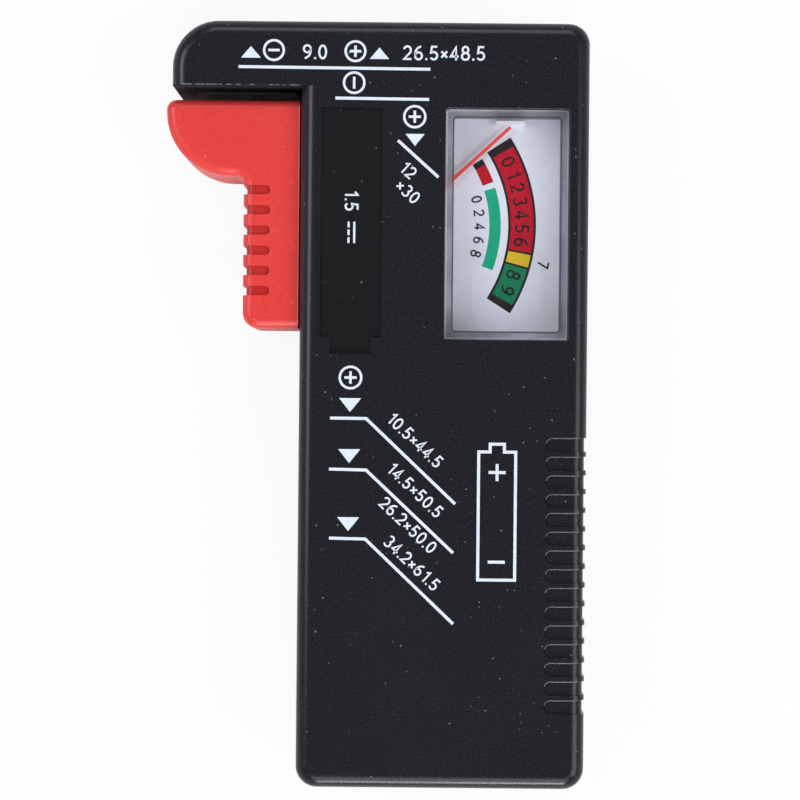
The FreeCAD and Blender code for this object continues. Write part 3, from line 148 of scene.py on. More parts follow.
def maths(tree, operation, first, second=0.0):
    """One operation on numbers or patterns."""
    node = tree.nodes.new("ShaderNodeMath")
    node.operation = operation
    for socket, value in zip(node.inputs, (first, second)):
        if isinstance(value, (int, float)):
            socket.default_value = value
        else:
            tree.links.new(value, socket)
    return node.outputs["Value"]


def every(tree, *masks):
    """A mask of what all of some masks share."""
    shared = masks[0]
    for mask in masks[1:]:
        shared = maths(tree, "MULTIPLY", shared, mask)
    return shared


def within(tree, position, limits):
    """A mask of the box between a low and a high limit along each axis."""
    masks = []
    for value, (low, high) in zip(position, limits):
        masks += [maths(tree, "GREATER_THAN", value, low), maths(tree, "LESS_THAN", value, high)]
    return every(tree, *masks)


def specks(tree, place, spacing, largest):
    """A mask of a few round specks: most cells of the pattern hold one that is too small to see."""
    node = tree.nodes.new("ShaderNodeTexVoronoi")
    node.inputs["Scale"].default_value = 1 / spacing
    tree.links.new(place, node.inputs["Vector"])
    parts = tree.nodes.new("ShaderNodeSeparateColor")
    tree.links.new(node.outputs["Color"], parts.inputs["Color"])
    share = maths(tree, "POWER", parts.outputs["Red"], SPECK_RARITY)
    radius = maths(tree, "MULTIPLY", share, largest / spacing)
    return maths(tree, "LESS_THAN", node.outputs["Distance"], radius)


def emboss(tree, shader, height, strength, depth):
    """Raise the surface by a pattern."""
    node = tree.nodes.new("ShaderNodeBump")
    node.inputs["Strength"].default_value = strength
    node.inputs["Distance"].default_value = depth
    tree.links.new(height, node.inputs["Height"])
    tree.links.new(node.outputs["Normal"], shader.inputs["Normal"])


def paint(material, *names):
    """Give some of the part's own solids their finish."""
    for name in names:
        mesh = nodes[name].data
        mesh.materials.clear()
        mesh.materials.append(material)


case_plastic, tree, shader, place = new_finish("case_plastic")
position = split(tree, place)
grain = noise(tree, place, CASE_GRAIN, detail=2.0)
in_recess = within(tree, position, (RECESS_SIDES, RECESS_ENDS, RECESS_LEVELS))
moulded = mix(tree, in_recess, ramp(tree, grain, CASE_DARK, CASE_PALE), RECESS_BLACK)
from_jaw_wall = maths(tree, "ABSOLUTE", maths(tree, "SUBTRACT", position["Y"], JAW_WALL))
under_head = maths(tree, "LESS_THAN", position["X"], JAW_WALL_END)
# Painted highlight: a broken pale line along the front edge of the wall under the head.
edge_highlight = every(
    tree, under_head,
    maths(tree, "LESS_THAN", from_jaw_wall, HIGHLIGHT_WIDTH),
    maths(tree, "GREATER_THAN", position["Z"], FACE - HIGHLIGHT_WIDTH),
    maths(tree, "GREATER_THAN", noise(tree, place, HIGHLIGHT_BREAKUP), 0.5),
)
# Dust specks and the painted highlight on the head's edge take the same pale colour.
dust_and_highlight = maths(tree, "MAXIMUM", specks(tree, place, DUST_SPACING, DUST_SIZE), edge_highlight)
tree.links.new(mix(tree, dust_and_highlight, moulded, DUST_AND_HIGHLIGHT), shader.inputs["Base Color"])
in_jaw = every(tree, under_head, maths(tree, "LESS_THAN", from_jaw_wall, SKIN))
satin = ramp(tree, noise(tree, place, CASE_PATCHES), *CASE_SHEEN)
tree.links.new(mix(tree, in_jaw, satin, JAW_WALL_SHEEN), shader.inputs["Roughness"])
shader.inputs["Specular IOR Level"].default_value = CASE_SPECULAR
emboss(tree, shader, grain, *CASE_BUMP)
paint(case_plastic, "rear_cover", "front_cover")

# Contacts and the spring's tag: strip of brass, plated with nickel, bent to shape and held in slits between
# the two halves of the case. The two in the jaw are coloured near black: painted shade of the narrow gap
# between the head and the jaw.

METAL_LINES = (300.0, 6000.0, 6000.0)
METAL_PATCHES = 350.0
METAL_BUMP = (0.15, 0.01 * MM)


def metal(name, dark, light, roughness, lines=METAL_LINES):
    """Drawn or rolled metal: fine lines, so many to the metre along each axis, and duller patches."""
    material, tree, shader, place = new_finish(name)
    stretch = tree.nodes.new("ShaderNodeMapping")
    stretch.inputs["Scale"].default_value = lines
    tree.links.new(place, stretch.inputs["Vector"])
    drawn = noise(tree, stretch.outputs["Vector"], 1.0, detail=2.0)
    tree.links.new(ramp(tree, drawn, dark, light), shader.inputs["Base Color"])
    shader.inputs["Metallic"].default_value = 1.0
    dull = ramp(tree, noise(tree, place, METAL_PATCHES), roughness * 0.8, roughness * 1.3)
    tree.links.new(dull, shader.inputs["Roughness"])
    emboss(tree, shader, drawn, *METAL_BUMP)
    return material


nickel = metal("nickel_strip", (0.46, 0.45, 0.42), (0.62, 0.61, 0.57), roughness=0.3)
paint(nickel, "nine_volt_positive_contact", "nine_volt_negative_contact", "spring_anchor")
# Painted shade: the two contacts in the jaw's gap get a near-black metal.
shade_dark = metal("shade_dark_strip", (0.075, 0.068, 0.066), (0.125, 0.116, 0.112), roughness=0.5)
paint(shade_dark, "head_contact", "slider_contact")

# Sliding jaw: one red moulding with a satin face, notched along its left edge for the thumb. It runs in the
# slot of the case's left wall. Its notch floors are a darker red, which is painted shade, and a thin strip
# along its right top edge is pale, which is a painted highlight.

RED_DEEP = (0.72, 0.043, 0.037)
RED_BRIGHT = (0.80, 0.058, 0.050)
RED_FLECK = (0.88, 0.32, 0.29)
RED_NOTCH_SHADE = (0.56, 0.024, 0.024)
RED_EDGE_HIGHLIGHT = (0.82, 0.22, 0.20)
FLECK_SPACING = 0.9 * MM
FLECK_SIZE = 0.12 * MM
RED_CLOUDS = 2600.0
RED_GRAIN = 3800.0
RED_PATCHES = 90.0
RED_SHEEN = (0.30, 0.40)
RED_SPECULAR = 0.4
RED_BUMP = (0.25, 0.02 * MM)
SLIDER_RIGHT = -11.0 * MM
SLIDER_ROUND = 1.3 * MM
BAR_LEFT = -18.9 * MM
NOTCH_DEPTH = 0.5 * MM
NOTCH_SIDES = (-19.0 * MM, -15.0 * MM)
NOTCH_ENDS = (15.2 * MM, 30.9 * MM)
NOTCH_SHADE_MARGIN = 0.04 * MM


def hypotenuse(tree, first, second):
    """How far two distances at right angles reach together."""
    squares = [maths(tree, "MULTIPLY", side, side) for side in (first, second)]
    return maths(tree, "SQRT", maths(tree, "ADD", *squares))


slider_low, slider_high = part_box("slider")
slider_middle = (slider_low.z + slider_high.z) / 2
flat_half = (slider_high.z - slider_low.z) / 2 - SLIDER_ROUND
red_plastic, tree, shader, place = new_finish("red_plastic")
position = split(tree, place)
from_middle = maths(tree, "ABSOLUTE", maths(tree, "SUBTRACT", position["Z"], slider_middle))
past_flat = maths(tree, "MAXIMUM", maths(tree, "SUBTRACT", from_middle, flat_half))
past_side = maths(tree, "MAXIMUM", maths(tree, "SUBTRACT", BAR_LEFT + SLIDER_ROUND, position["X"]))
from_core = hypotenuse(tree, past_flat, past_side)
# Painted shade: the notch floors, under the rounded left edge, are coloured a darker red.
sunk = maths(tree, "LESS_THAN", from_core, SLIDER_ROUND - NOTCH_DEPTH + NOTCH_SHADE_MARGIN)
in_notch = every(tree, sunk, within(tree, position, (NOTCH_SIDES, NOTCH_ENDS)))
# Painted highlight: a thin pale strip along the jaw's right top edge.
edge_highlight = every(
    tree,
    maths(tree, "GREATER_THAN", position["X"], SLIDER_RIGHT - HIGHLIGHT_WIDTH),
    maths(tree, "GREATER_THAN", position["Z"], slider_high.z - HIGHLIGHT_WIDTH),
)
reds = ramp(tree, noise(tree, place, RED_CLOUDS), RED_DEEP, RED_BRIGHT)
reds = mix(tree, specks(tree, place, FLECK_SPACING, FLECK_SIZE), reds, RED_FLECK)
reds = mix(tree, in_notch, reds, RED_NOTCH_SHADE)
tree.links.new(mix(tree, edge_highlight, reds, RED_EDGE_HIGHLIGHT), shader.inputs["Base Color"])
tree.links.new(ramp(tree, noise(tree, place, RED_PATCHES), *RED_SHEEN), shader.inputs["Roughness"])
shader.inputs["Specular IOR Level"].default_value = RED_SPECULAR
emboss(tree, shader, noise(tree, place, RED_GRAIN), *RED_BUMP)
paint(red_plastic, "slider")

# Jaw spring: hard-drawn steel wire, coiled in open turns, with a loop at each end. The lower loop is through
# the jaw contact's tail, the upper one through the tag in the case. On the tester it stretches as the jaw
# goes down; here it is drawn once, at rest, and joined to no part that moves.

WIRE = 0.4
WIRE_SIDES = 10
COIL_RADIUS = 1.55
COIL_TURNS = 14
TURN_STEPS = 24
LEAD_IN = 1.8
LEAD_STEPS = 12
LOOP_SWEEP = 250
LOOP_STEPS = 35


def new_piece(name, data):
    """An object in the scene, at the origin."""
    piece = bpy.data.objects.new(name, data)
    scene.collection.objects.link(piece)
    return piece


def new_tree(name, **sizes):
    """A tree of nodes whose inputs are a line, named sizes and a material."""
    group = bpy.data.node_groups.new(name, "GeometryNodeTree")
    group.interface.new_socket("Geometry", in_out="INPUT", socket_type="NodeSocketGeometry")
    inputs = []
    for size, kind in (*sizes.items(), ("Material", "Material")):
        socket = group.interface.new_socket(size, in_out="INPUT", socket_type=f"NodeSocket{kind}")
        inputs.append(socket.identifier)
    group.interface.new_socket("Geometry", in_out="OUTPUT", socket_type="NodeSocketGeometry")
    return group, group.nodes.new("NodeGroupInput").outputs, inputs


def sweep(group, source, sides=None):
    """Nodes that sweep a section, Width by Height, along the line: a flat strip if it is given no sides."""
    if sides:
        outline = group.nodes.new("GeometryNodeCurvePrimitiveCircle")
        outline.inputs["Resolution"].default_value = sides
        outline.inputs["Radius"].default_value = 0.5
    else:
        outline = group.nodes.new("GeometryNodeCurvePrimitiveQuadrilateral")
        outline.inputs["Width"].default_value = 1.0
        outline.inputs["Height"].default_value = 1.0
    size = group.nodes.new("ShaderNodeCombineXYZ")
    size.inputs["Z"].default_value = 1.0
    sized = group.nodes.new("GeometryNodeTransform")
    upright = group.nodes.new("GeometryNodeSetCurveNormal")
    upright.mode = "MINIMUM_TWIST" if sides else "Z_UP"
    skin = group.nodes.new("GeometryNodeCurveToMesh")
    skin.inputs["Fill Caps"].default_value = True
    shaded = group.nodes.new("GeometryNodeSetShadeSmooth")
    shaded.inputs["Shade Smooth"].default_value = bool(sides)
    group.links.new(source["Width"], size.inputs["X"])
    group.links.new(source["Height"], size.inputs["Y"])
    group.links.new(size.outputs["Vector"], sized.inputs["Scale"])
    group.links.new(outline.outputs["Curve"], sized.inputs["Geometry"])
    group.links.new(source["Geometry"], upright.inputs["Curve"])
    group.links.new(upright.outputs["Curve"], skin.inputs["Curve"])
    group.links.new(sized.outputs["Geometry"], skin.inputs["Profile Curve"])
    group.links.new(skin.outputs["Mesh"], shaded.inputs["Geometry"])
    return shaded.outputs["Geometry"]


def close_tree(group, source, shape):
    """End a tree in plain geometry of one material."""
    whole = group.nodes.new("GeometryNodeRealizeInstances")
    dressed = group.nodes.new("GeometryNodeSetMaterial")
    result = group.nodes.new("NodeGroupOutput")
    group.links.new(shape, whole.inputs["Geometry"])
    group.links.new(whole.outputs["Geometry"], dressed.inputs["Geometry"])
    group.links.new(source["Material"], dressed.inputs["Material"])
    group.links.new(dressed.outputs["Geometry"], result.inputs["Geometry"])


def made_along(name, lines, group, inputs, values):
    """A plain mesh that a tree of nodes makes along one or more lines of points in millimetres."""
    path = bpy.data.curves.new(f"{name}_path", "CURVE")
    path.dimensions = "3D"
    for line in lines:
        spline = path.splines.new("POLY")
        spline.points.add(len(line) - 1)
        for point, spot in zip(spline.points, line):
            point.co = (*(part * MM for part in spot), 1.0)
    holder = new_piece(f"{name}_path", path)
    modifier = holder.modifiers.new("nodes", "NODES")
    modifier.node_group = group
    for identifier, value in zip(inputs, values):
        modifier[identifier] = value
    bpy.context.view_layer.update()
    data = bpy.data.meshes.new_from_object(holder.evaluated_get(bpy.context.evaluated_depsgraph_get()))
    data.name = name
    bpy.data.objects.remove(holder)
    bpy.data.curves.remove(path)
    mesh = bmesh.new()
    mesh.from_mesh(data)
    bmesh.ops.recalc_face_normals(mesh, faces=mesh.faces)
    mesh.to_mesh(data)
    mesh.free()
    return new_piece(name, data)


spring_low, spring_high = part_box("slider_spring")
spring_x = (spring_low.x + spring_high.x) / 2 / MM
spring_z = (spring_low.z + spring_high.z) / 2 / MM
low_centre = spring_low.y / MM + WIRE / 2 + COIL_RADIUS
high_centre = spring_high.y / MM - WIRE / 2 - COIL_RADIUS
first_turn = low_centre + LEAD_IN
last_turn = high_centre - LEAD_IN
coil_length = last_turn - first_turn


def on_loop(centre, bearing):
    """A point of an end loop, which lies level."""
    across = COIL_RADIUS * math.cos(math.radians(bearing))
    return (spring_x + across, centre + COIL_RADIUS * math.sin(math.radians(bearing)), spring_z)


def on_coil(y, bearing):
    """A point of the coil, whose turns stand upright."""
    across = COIL_RADIUS * math.cos(math.radians(bearing))
    return (spring_x + across, y, spring_z + COIL_RADIUS * math.sin(math.radians(bearing)))


loop_turns = [LOOP_SWEEP * step / LOOP_STEPS for step in range(LOOP_STEPS + 1)]
lead_shares = [step / LEAD_STEPS for step in range(1, LEAD_STEPS)]
coil_shares = [step / (COIL_TURNS * TURN_STEPS) for step in range(COIL_TURNS * TURN_STEPS + 1)]
spring_line = [on_loop(low_centre, 360 - LOOP_SWEEP + turn) for turn in loop_turns]
spring_line += [on_coil(low_centre + LEAD_IN * share, 90 * share) for share in lead_shares]
spring_line += [
    on_coil(first_turn + coil_length * share, 90 + 360 * COIL_TURNS * share) for share in coil_shares
]
spring_line += [on_coil(last_turn + LEAD_IN * share, 90 + 90 * share) for share in lead_shares]
spring_line += [on_loop(high_centre, 180 - turn) for turn in loop_turns]
spring_wire = metal("spring_wire", (0.34, 0.34, 0.35), (0.52, 0.52, 0.54), roughness=0.3)
group, source, inputs = new_tree("wire_sweep", Width="Float", Height="Float")
close_tree(group, source, sweep(group, source, WIRE_SIDES))
spring = made_along("jaw_spring", [spring_line], group, inputs, (WIRE * MM, WIRE * MM, spring_wire))
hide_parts("slider_spring")
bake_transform(spring)

# Resistor board: a plate of brown paper laminate, held by two screws on posts of the rear half. It carries
# three resistors, each a rod dipped in tan lacquer with four painted bands.

PLAIN_BUMP = (0.2, 0.02 * MM)
LAMINATE_FIBRES = 1800.0
RESISTOR_COAT = (0.58, 0.44, 0.27)
COAT_DIMPLES = 900.0
BAND_PAINTS = {
    "black": (0.012, 0.012, 0.012), "brown": (0.10, 0.045, 0.02), "red": (0.42, 0.02, 0.02),
    "orange": (0.80, 0.25, 0.02), "violet": (0.16, 0.03, 0.30), "gold": (0.55, 0.36, 0.10),
}
RESISTOR_BANDS = {
    "load_resistor": ("brown", "black", "black", "gold"),
    "nine_volt_resistor": ("red", "violet", "brown", "gold"),
    "meter_resistor": ("orange", "orange", "red", "gold"),
}
BAND_STARTS = (0.24, 0.37, 0.50, 0.68)
BAND_WIDTH = 0.06
SCREW_LINES = (2500.0, 2500.0, 300.0)


def plain_finish(name, low, high, roughness, scale):
    """A finish of two near colours in small clouds, which are also slightly raised."""
    material, tree, shader, place = new_finish(name, roughness)
    pattern = noise(tree, place, scale)
    tree.links.new(ramp(tree, pattern, low, high), shader.inputs["Base Color"])
    emboss(tree, shader, pattern, *PLAIN_BUMP)
    return material


zinc = metal("zinc_plate", (0.42, 0.42, 0.44), (0.62, 0.62, 0.63), roughness=0.35, lines=SCREW_LINES)
paint(zinc, "board_screws")
laminate = plain_finish(
    "board_laminate", (0.27, 0.14, 0.055), (0.40, 0.23, 0.10), roughness=0.55, scale=LAMINATE_FIBRES
)
paint(laminate, "resistor_board")
for resistor, bands in RESISTOR_BANDS.items():
    coat, tree, shader, place = new_finish(f"{resistor}_coat", roughness=0.45)
    low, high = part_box(resistor)
    longest = max(range(3), key=lambda axis: high[axis] - low[axis])
    along = maths(tree, "SUBTRACT", split(tree, place)[longest], low[longest])
    share = maths(tree, "DIVIDE", along, high[longest] - low[longest])
    stripes = tree.nodes.new("ShaderNodeValToRGB")
    stripes.color_ramp.interpolation = "CONSTANT"
    stripes.color_ramp.elements[0].color = rgba(RESISTOR_COAT)
    stripes.color_ramp.elements.remove(stripes.color_ramp.elements[1])
    for start, colour in zip(BAND_STARTS, bands):
        stripes.color_ramp.elements.new(start).color = rgba(BAND_PAINTS[colour])
        stripes.color_ramp.elements.new(start + BAND_WIDTH).color = rgba(RESISTOR_COAT)
    tree.links.new(share, stripes.inputs["Fac"])
    tree.links.new(stripes.outputs["Color"], shader.inputs["Base Color"])
    emboss(tree, shader, noise(tree, place, COAT_DIMPLES), *PLAIN_BUMP)
    paint(coat, resistor)

# Leads: thin stranded wire in an extruded sleeve of coloured plastic, one colour for each way. They are
# soldered at both ends and laid along the rear half's floor.

LEAD_CLOUDS = 2500.0
LEAD_COLOURS = {
    "slider_lead": ("yellow_insulation", (0.62, 0.42, 0.03), (0.74, 0.54, 0.06)),
    "negative_lead": ("black_insulation", (0.014, 0.014, 0.014), (0.026, 0.026, 0.026)),
    "nine_volt_lead": ("red_insulation", (0.48, 0.02, 0.02), (0.60, 0.035, 0.03)),
    "meter_positive_lead": ("white_insulation", (0.68, 0.68, 0.65), (0.80, 0.80, 0.77)),
    "meter_negative_lead": ("blue_insulation", (0.03, 0.09, 0.38), (0.06, 0.14, 0.50)),
}
for lead, (finish_name, low, high) in LEAD_COLOURS.items():
    paint(plain_finish(finish_name, low, high, roughness=0.45, scale=LEAD_CLOUDS), lead)

# Meter movement: a dark tray with a soft-iron ring round a magnet, held by brass spacers; a copper coil on
# steel pivots between two jewels, and a brass bridge over them.

TRAY_CLOUDS = 300.0
COIL_LINES = (9000.0, 9000.0, 400.0)
tray = plain_finish(
    "tray_plastic", (0.035, 0.035, 0.04), (0.055, 0.055, 0.06), roughness=0.5, scale=TRAY_CLOUDS
)
paint(tray, "meter_base")
iron = metal("soft_iron", (0.18, 0.18, 0.19), (0.28, 0.28, 0.29), roughness=0.45)
paint(iron, "yoke_ring")
alloy = metal("magnet_alloy", (0.10, 0.10, 0.11), (0.18, 0.18, 0.19), roughness=0.55)
paint(alloy, "core_magnet")
brass = metal("brass", (0.62, 0.44, 0.17), (0.78, 0.57, 0.25), roughness=0.3)
paint(brass, "core_spacers", "jewel_bridge", "jewel_screws", "meter_terminals")
copper = metal("copper_wire", (0.52, 0.20, 0.09), (0.70, 0.30, 0.14), roughness=0.32, lines=COIL_LINES)
paint(copper, "moving_coil")
paint(zinc, "coil_pivots")

# Hairsprings: two flat spirals of bronze strip, one above and one below the coil. Each is soldered to a
# pivot inside and to the tray's side outside.

STRIP = 0.12
STRIP_HEIGHT = 0.3
SPIRAL_TURNS = 3.5
SPIRAL_STEPS = 126
SPIRAL_START = 0.95
needle_joint = next(joint for joint in frame["joints"] if joint["name"] == "needle_swing")
pivot_x, pivot_y = (part / MM for part in needle_joint["pos_m"][:2])
hair_low, hair_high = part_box("hairsprings")
spiral_end = (hair_high.x - hair_low.x) / 2 / MM - STRIP / 2
spirals = []
for level in (hair_low.z / MM + STRIP_HEIGHT / 2, hair_high.z / MM - STRIP_HEIGHT / 2):
    spiral = []
    for step in range(SPIRAL_STEPS + 1):
        share = step / SPIRAL_STEPS
        bearing = 2 * math.pi * SPIRAL_TURNS * share
        reach = SPIRAL_START + (spiral_end - SPIRAL_START) * share
        spiral.append((pivot_x + reach * math.cos(bearing), pivot_y + reach * math.sin(bearing), level))
    spirals.append(spiral)
bronze = metal("bronze_strip", (0.50, 0.32, 0.13), (0.66, 0.45, 0.20), roughness=0.3)
group, source, inputs = new_tree("strip_sweep", Width="Float", Height="Float")
close_tree(group, source, sweep(group, source))
hairsprings = made_along("hairspring_pair", spirals, group, inputs, (STRIP * MM, STRIP_HEIGHT * MM, bronze))
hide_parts("hairsprings")
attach(hairsprings, "case")

# Dial plate: sheet aluminium with satin lavender-grey paint, bent up at the top as the needle's stop, whose
# top
# is coloured near white: partly its bare cut edge, partly a painted highlight. Its coloured bands and plain
# numbers are printed on it, each ink a film a few hundredths of a millimetre thick.

DIAL_THICKNESS = 0.5 * MM
DIAL_DARK = (0.84, 0.86, 0.95)
DIAL_PALE = (0.88, 0.90, 0.98)
DIAL_CLOUDS = 500.0
DIAL_GRAIN = 3000.0
DIAL_BUMP = (0.12, 0.01 * MM)
STOP_TOP_DEPTH = 0.2 * MM
STOP_EDGE_AND_HIGHLIGHT = (0.92, 0.92, 0.90)
PRINT_FILM = 0.02 * MM
LAYER = 0.004 * MM
PRINT_CLOUDS = 1500.0
PRINT_SPECULAR = 0.12
PRINT_COLOURS = {
    "black": ((0.016, 0.012, 0.013), (0.028, 0.022, 0.023)),
    "red": ((0.50, 0.006, 0.022), (0.60, 0.012, 0.032)),
    "yellow": ((0.78, 0.52, 0.022), (0.86, 0.58, 0.035)),
    "green": ((0.006, 0.20, 0.085), (0.012, 0.25, 0.11)),
    "pale_green": ((0.010, 0.41, 0.22), (0.018, 0.47, 0.26)),
}
SCALE_CENTRE = (-0.49, 25.55)
SCALE_RADII = (19.27, 23.23)
SCALE_LINE = 0.35
COLOURED_RADII = (SCALE_RADII[0] + SCALE_LINE, SCALE_RADII[1] - SCALE_LINE)
SMALL_RADII = (16.57, 18.2)
BAND_STEPS = 40
BANDS = (
    ("scale_outline", "black", SCALE_RADII, 33.0, -32.4, 1),
    ("scale_red", "red", COLOURED_RADII, 29.8, -9.6, 2),
    ("scale_yellow", "yellow", COLOURED_RADII, -10.4, -14.9, 2),
    ("scale_green", "green", COLOURED_RADII, -15.7, -29.5, 2),
    ("small_scale_end", "black", SMALL_RADII, 31.7, 28.8, 1),
    ("small_scale_red", "red", SMALL_RADII, 28.8, 20.2, 1),
    ("small_scale_green", "pale_green", SMALL_RADII, 17.5, -20.3, 1),
)
RED_NUMBERS = (2.0, sum(SCALE_RADII) / 2, {number: 25.6 - 5.3 * number for number in range(7)})
GREEN_NUMBERS = (2.0, sum(SCALE_RADII) / 2, {8: -19.2, 9: -25.4})
OUTER_NUMBER = (1.6, 24.9, {7: -12.6})
SMALL_NUMBERS = (1.5, 15.2, {2 * number: 14.4 - 7.4 * number for number in range(5)})


def join_columns(mesh, columns, closed):
    """Skin a row of four-cornered sections into a closed solid."""
    following = columns[1:] + columns[:1] if closed else columns[1:]
    for column, after in zip(columns, following):
        for side in range(4):
            other = (side + 1) % 4
            mesh.faces.new((column[side], column[other], after[other], after[side]))
    if not closed:
        mesh.faces.new(columns[0][::-1])
        mesh.faces.new(columns[-1])


def section(mesh, inner, outer, low, high):
    """The four corners of a film between an inner and an outer point."""
    corners = ((inner, low), (outer, low), (outer, high), (inner, high))
    return [mesh.verts.new((spot[0] * MM, spot[1] * MM, level)) for spot, level in corners]


def bend(centre, across, tall, start, end, steps=24):
    """Points on a part of an oval, from one angle to another in degrees."""
    angles = [math.radians(start + (end - start) * step / steps) for step in range(steps + 1)]
    return [(centre[0] + across * math.cos(angle), centre[1] + tall * math.sin(angle)) for angle in angles]


def ring(centre, across, tall, count=24):
    """Points all round an oval."""
    return bend(centre, across, tall, 0, 360 - 360 / count, count - 1)


def band(mesh, centre, radii, start, end, low, high):
    """A closed slab between two radii and two angles, in millimetres and degrees."""
    inner, outer = (bend(centre, radius, radius, start, end, BAND_STEPS) for radius in radii)
    columns = [section(mesh, near, far, low, high) for near, far in zip(inner, outer)]
    join_columns(mesh, columns, False)


def trace(mesh, points, width, low, high, closed=False):
    """A closed slab of one width along a line of points, in millimetres, with its corners mitred."""
    points = [Vector(point) for point in points]
    count = len(points)
    columns = []
    for index, point in enumerate(points):
        before = (point - points[index - 1]).normalized()
        after = (points[(index + 1) % count] - point).normalized()
        if not closed and index == 0:
            before = after
        if not closed and index == count - 1:
            after = before
        across = Vector((-before.y - after.y, before.x + after.x)).normalized()
        reach = width / 2 / max(0.5, across.dot(Vector((-after.y, after.x))))
        columns.append(section(mesh, point + across * reach, point - across * reach, low, high))
    join_columns(mesh, columns, closed)


FIGURE_LINES = {
    "0": [(ring((0.30, 0.50), 0.24, 0.45), True)],
    "1": [([(0.12, 0.74), (0.36, 0.95), (0.36, 0.0)], False)],
    "2": [(bend((0.30, 0.68), 0.24, 0.27, 165, -35) + [(0.07, 0.06), (0.58, 0.06)], False)],
    "3": [
        (bend((0.28, 0.73), 0.22, 0.22, 150, -75), False),
        (bend((0.28, 0.28), 0.25, 0.24, 75, -150), False),
    ],
    "4": [([(0.42, 0.0), (0.42, 0.95), (0.05, 0.27), (0.60, 0.27)], False)],
    "5": [([(0.53, 0.94), (0.16, 0.94), (0.10, 0.52)] + bend((0.29, 0.31), 0.24, 0.26, 120, -150), False)],
    "6": [(bend((0.52, 0.40), 0.46, 0.54, 95, 175, 10) + bend((0.30, 0.29), 0.24, 0.25, 165, -180), False)],
    "7": [([(0.05, 0.94), (0.55, 0.94), (0.22, 0.0)], False)],
    "8": [(ring((0.30, 0.73), 0.20, 0.22), True), (ring((0.30, 0.28), 0.25, 0.24), True)],
    "9": [(bend((0.08, 0.60), 0.46, 0.54, -85, -5, 10) + bend((0.30, 0.71), 0.24, 0.25, -15, -360), False)],
    ".": [([(0.0, 0.06), (0.14, 0.06)], False)],
    "x": [([(0.05, 0.18), (0.45, 0.62)], False), ([(0.05, 0.62), (0.45, 0.18)], False)],
}
FIGURE_WIDTHS = {".": 0.3, "1": 0.62, "x": 0.66}
FIGURE_WIDTH = 0.78
FIGURE_GAP = 0.18
FIGURE_WEIGHT = 0.145


def figures(mesh, text, height, middle, turn, low, high):
    """Plain numbers drawn with strokes of one weight, set about their middle and turned."""
    advance = [FIGURE_WIDTHS.get(character, FIGURE_WIDTH) for character in text]
    start = -(sum(advance) - FIGURE_GAP) / 2
    to_place = Matrix.Rotation(math.radians(turn), 2)
    for character, step in zip(text, advance):
        for order, (line, closed) in enumerate(FIGURE_LINES[character]):
            flat = [Vector(((start + x) * height, (y - 0.5) * height)) for x, y in line]
            points = [Vector(middle) + to_place @ point for point in flat]
            trace(mesh, points, FIGURE_WEIGHT * height, low, high + order * LAYER, closed)
        start += step


def closed_piece(name, mesh, material):
    """A piece from a drawn mesh, with its faces pointing outwards."""
    bmesh.ops.recalc_face_normals(mesh, faces=mesh.faces)
    data = bpy.data.meshes.new(name)
    mesh.to_mesh(data)
    mesh.free()
    data.materials.append(material)
    piece = new_piece(name, data)
    return piece


dial_paint, tree, shader, place = new_finish("dial_paint", roughness=0.42)
greys = ramp(tree, noise(tree, place, DIAL_CLOUDS), DIAL_DARK, DIAL_PALE)
# The stop's top is coloured near white: partly bare metal, partly a painted highlight.
on_stop = maths(tree, "GREATER_THAN", split(tree, place)["Z"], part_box("dial_plate")[1].z - STOP_TOP_DEPTH)
tree.links.new(mix(tree, on_stop, greys, STOP_EDGE_AND_HIGHLIGHT), shader.inputs["Base Color"])
emboss(tree, shader, noise(tree, place, DIAL_GRAIN), *DIAL_BUMP)
paint(dial_paint, "dial_plate")

dial_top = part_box("dial_plate")[0].z + DIAL_THICKNESS
inks = {}
for colour, (low, high) in PRINT_COLOURS.items():
    inks[colour] = plain_finish(f"{colour}_print", low, high, roughness=0.6, scale=PRINT_CLOUDS)
    matt = inks[colour].node_tree.nodes["Principled BSDF"]
    matt.inputs["Specular IOR Level"].default_value = PRINT_SPECULAR
for name, colour, radii, start, end, layers in BANDS:
    film = bmesh.new()
    band(film, SCALE_CENTRE, radii, start, end, dial_top - PRINT_FILM / 2, dial_top + PRINT_FILM * layers)
    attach(closed_piece(name, film, inks[colour]), "case")
numbers = bmesh.new()
for height, radius, angles in (RED_NUMBERS, GREEN_NUMBERS, OUTER_NUMBER, SMALL_NUMBERS):
    for number, angle in angles.items():
        spot = bend(SCALE_CENTRE, radius, radius, angle, angle, 1)[0]
        figures(numbers, str(number), height, spot, angle - 90, dial_top, dial_top + PRINT_FILM * 3)
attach(closed_piece("dial_numbers", numbers, inks["black"]), "case")

# Needle: a slim blade with a hub and a round counterweight, stamped from sheet aluminium and painted signal
# red. It is pressed on the coil's upper pivot.

REST_ANGLE = 42.7
NEEDLE_LENGTH = 23.3
ROOT_HALF = 0.30
TIP_HALF = 0.24
HUB_RADIUS = 1.3
TAIL_MIDDLE = -2.4
TAIL_RADIUS = 0.8
HUB_STEPS = 12
TAIL_STEPS = 20
NEEDLE_CLOUDS = 1200.0


def slab(mesh, corners, low, high):
    """A closed slab over a flat outline in millimetres."""
    floor = [mesh.verts.new((x * MM, y * MM, low)) for x, y in corners]
    roof = [mesh.verts.new((x * MM, y * MM, high)) for x, y in corners]
    mesh.faces.new(floor[::-1])
    mesh.faces.new(roof)
    for index in range(len(corners)):
        mesh.faces.new((floor[index - 1], floor[index], roof[index], roof[index - 1]))


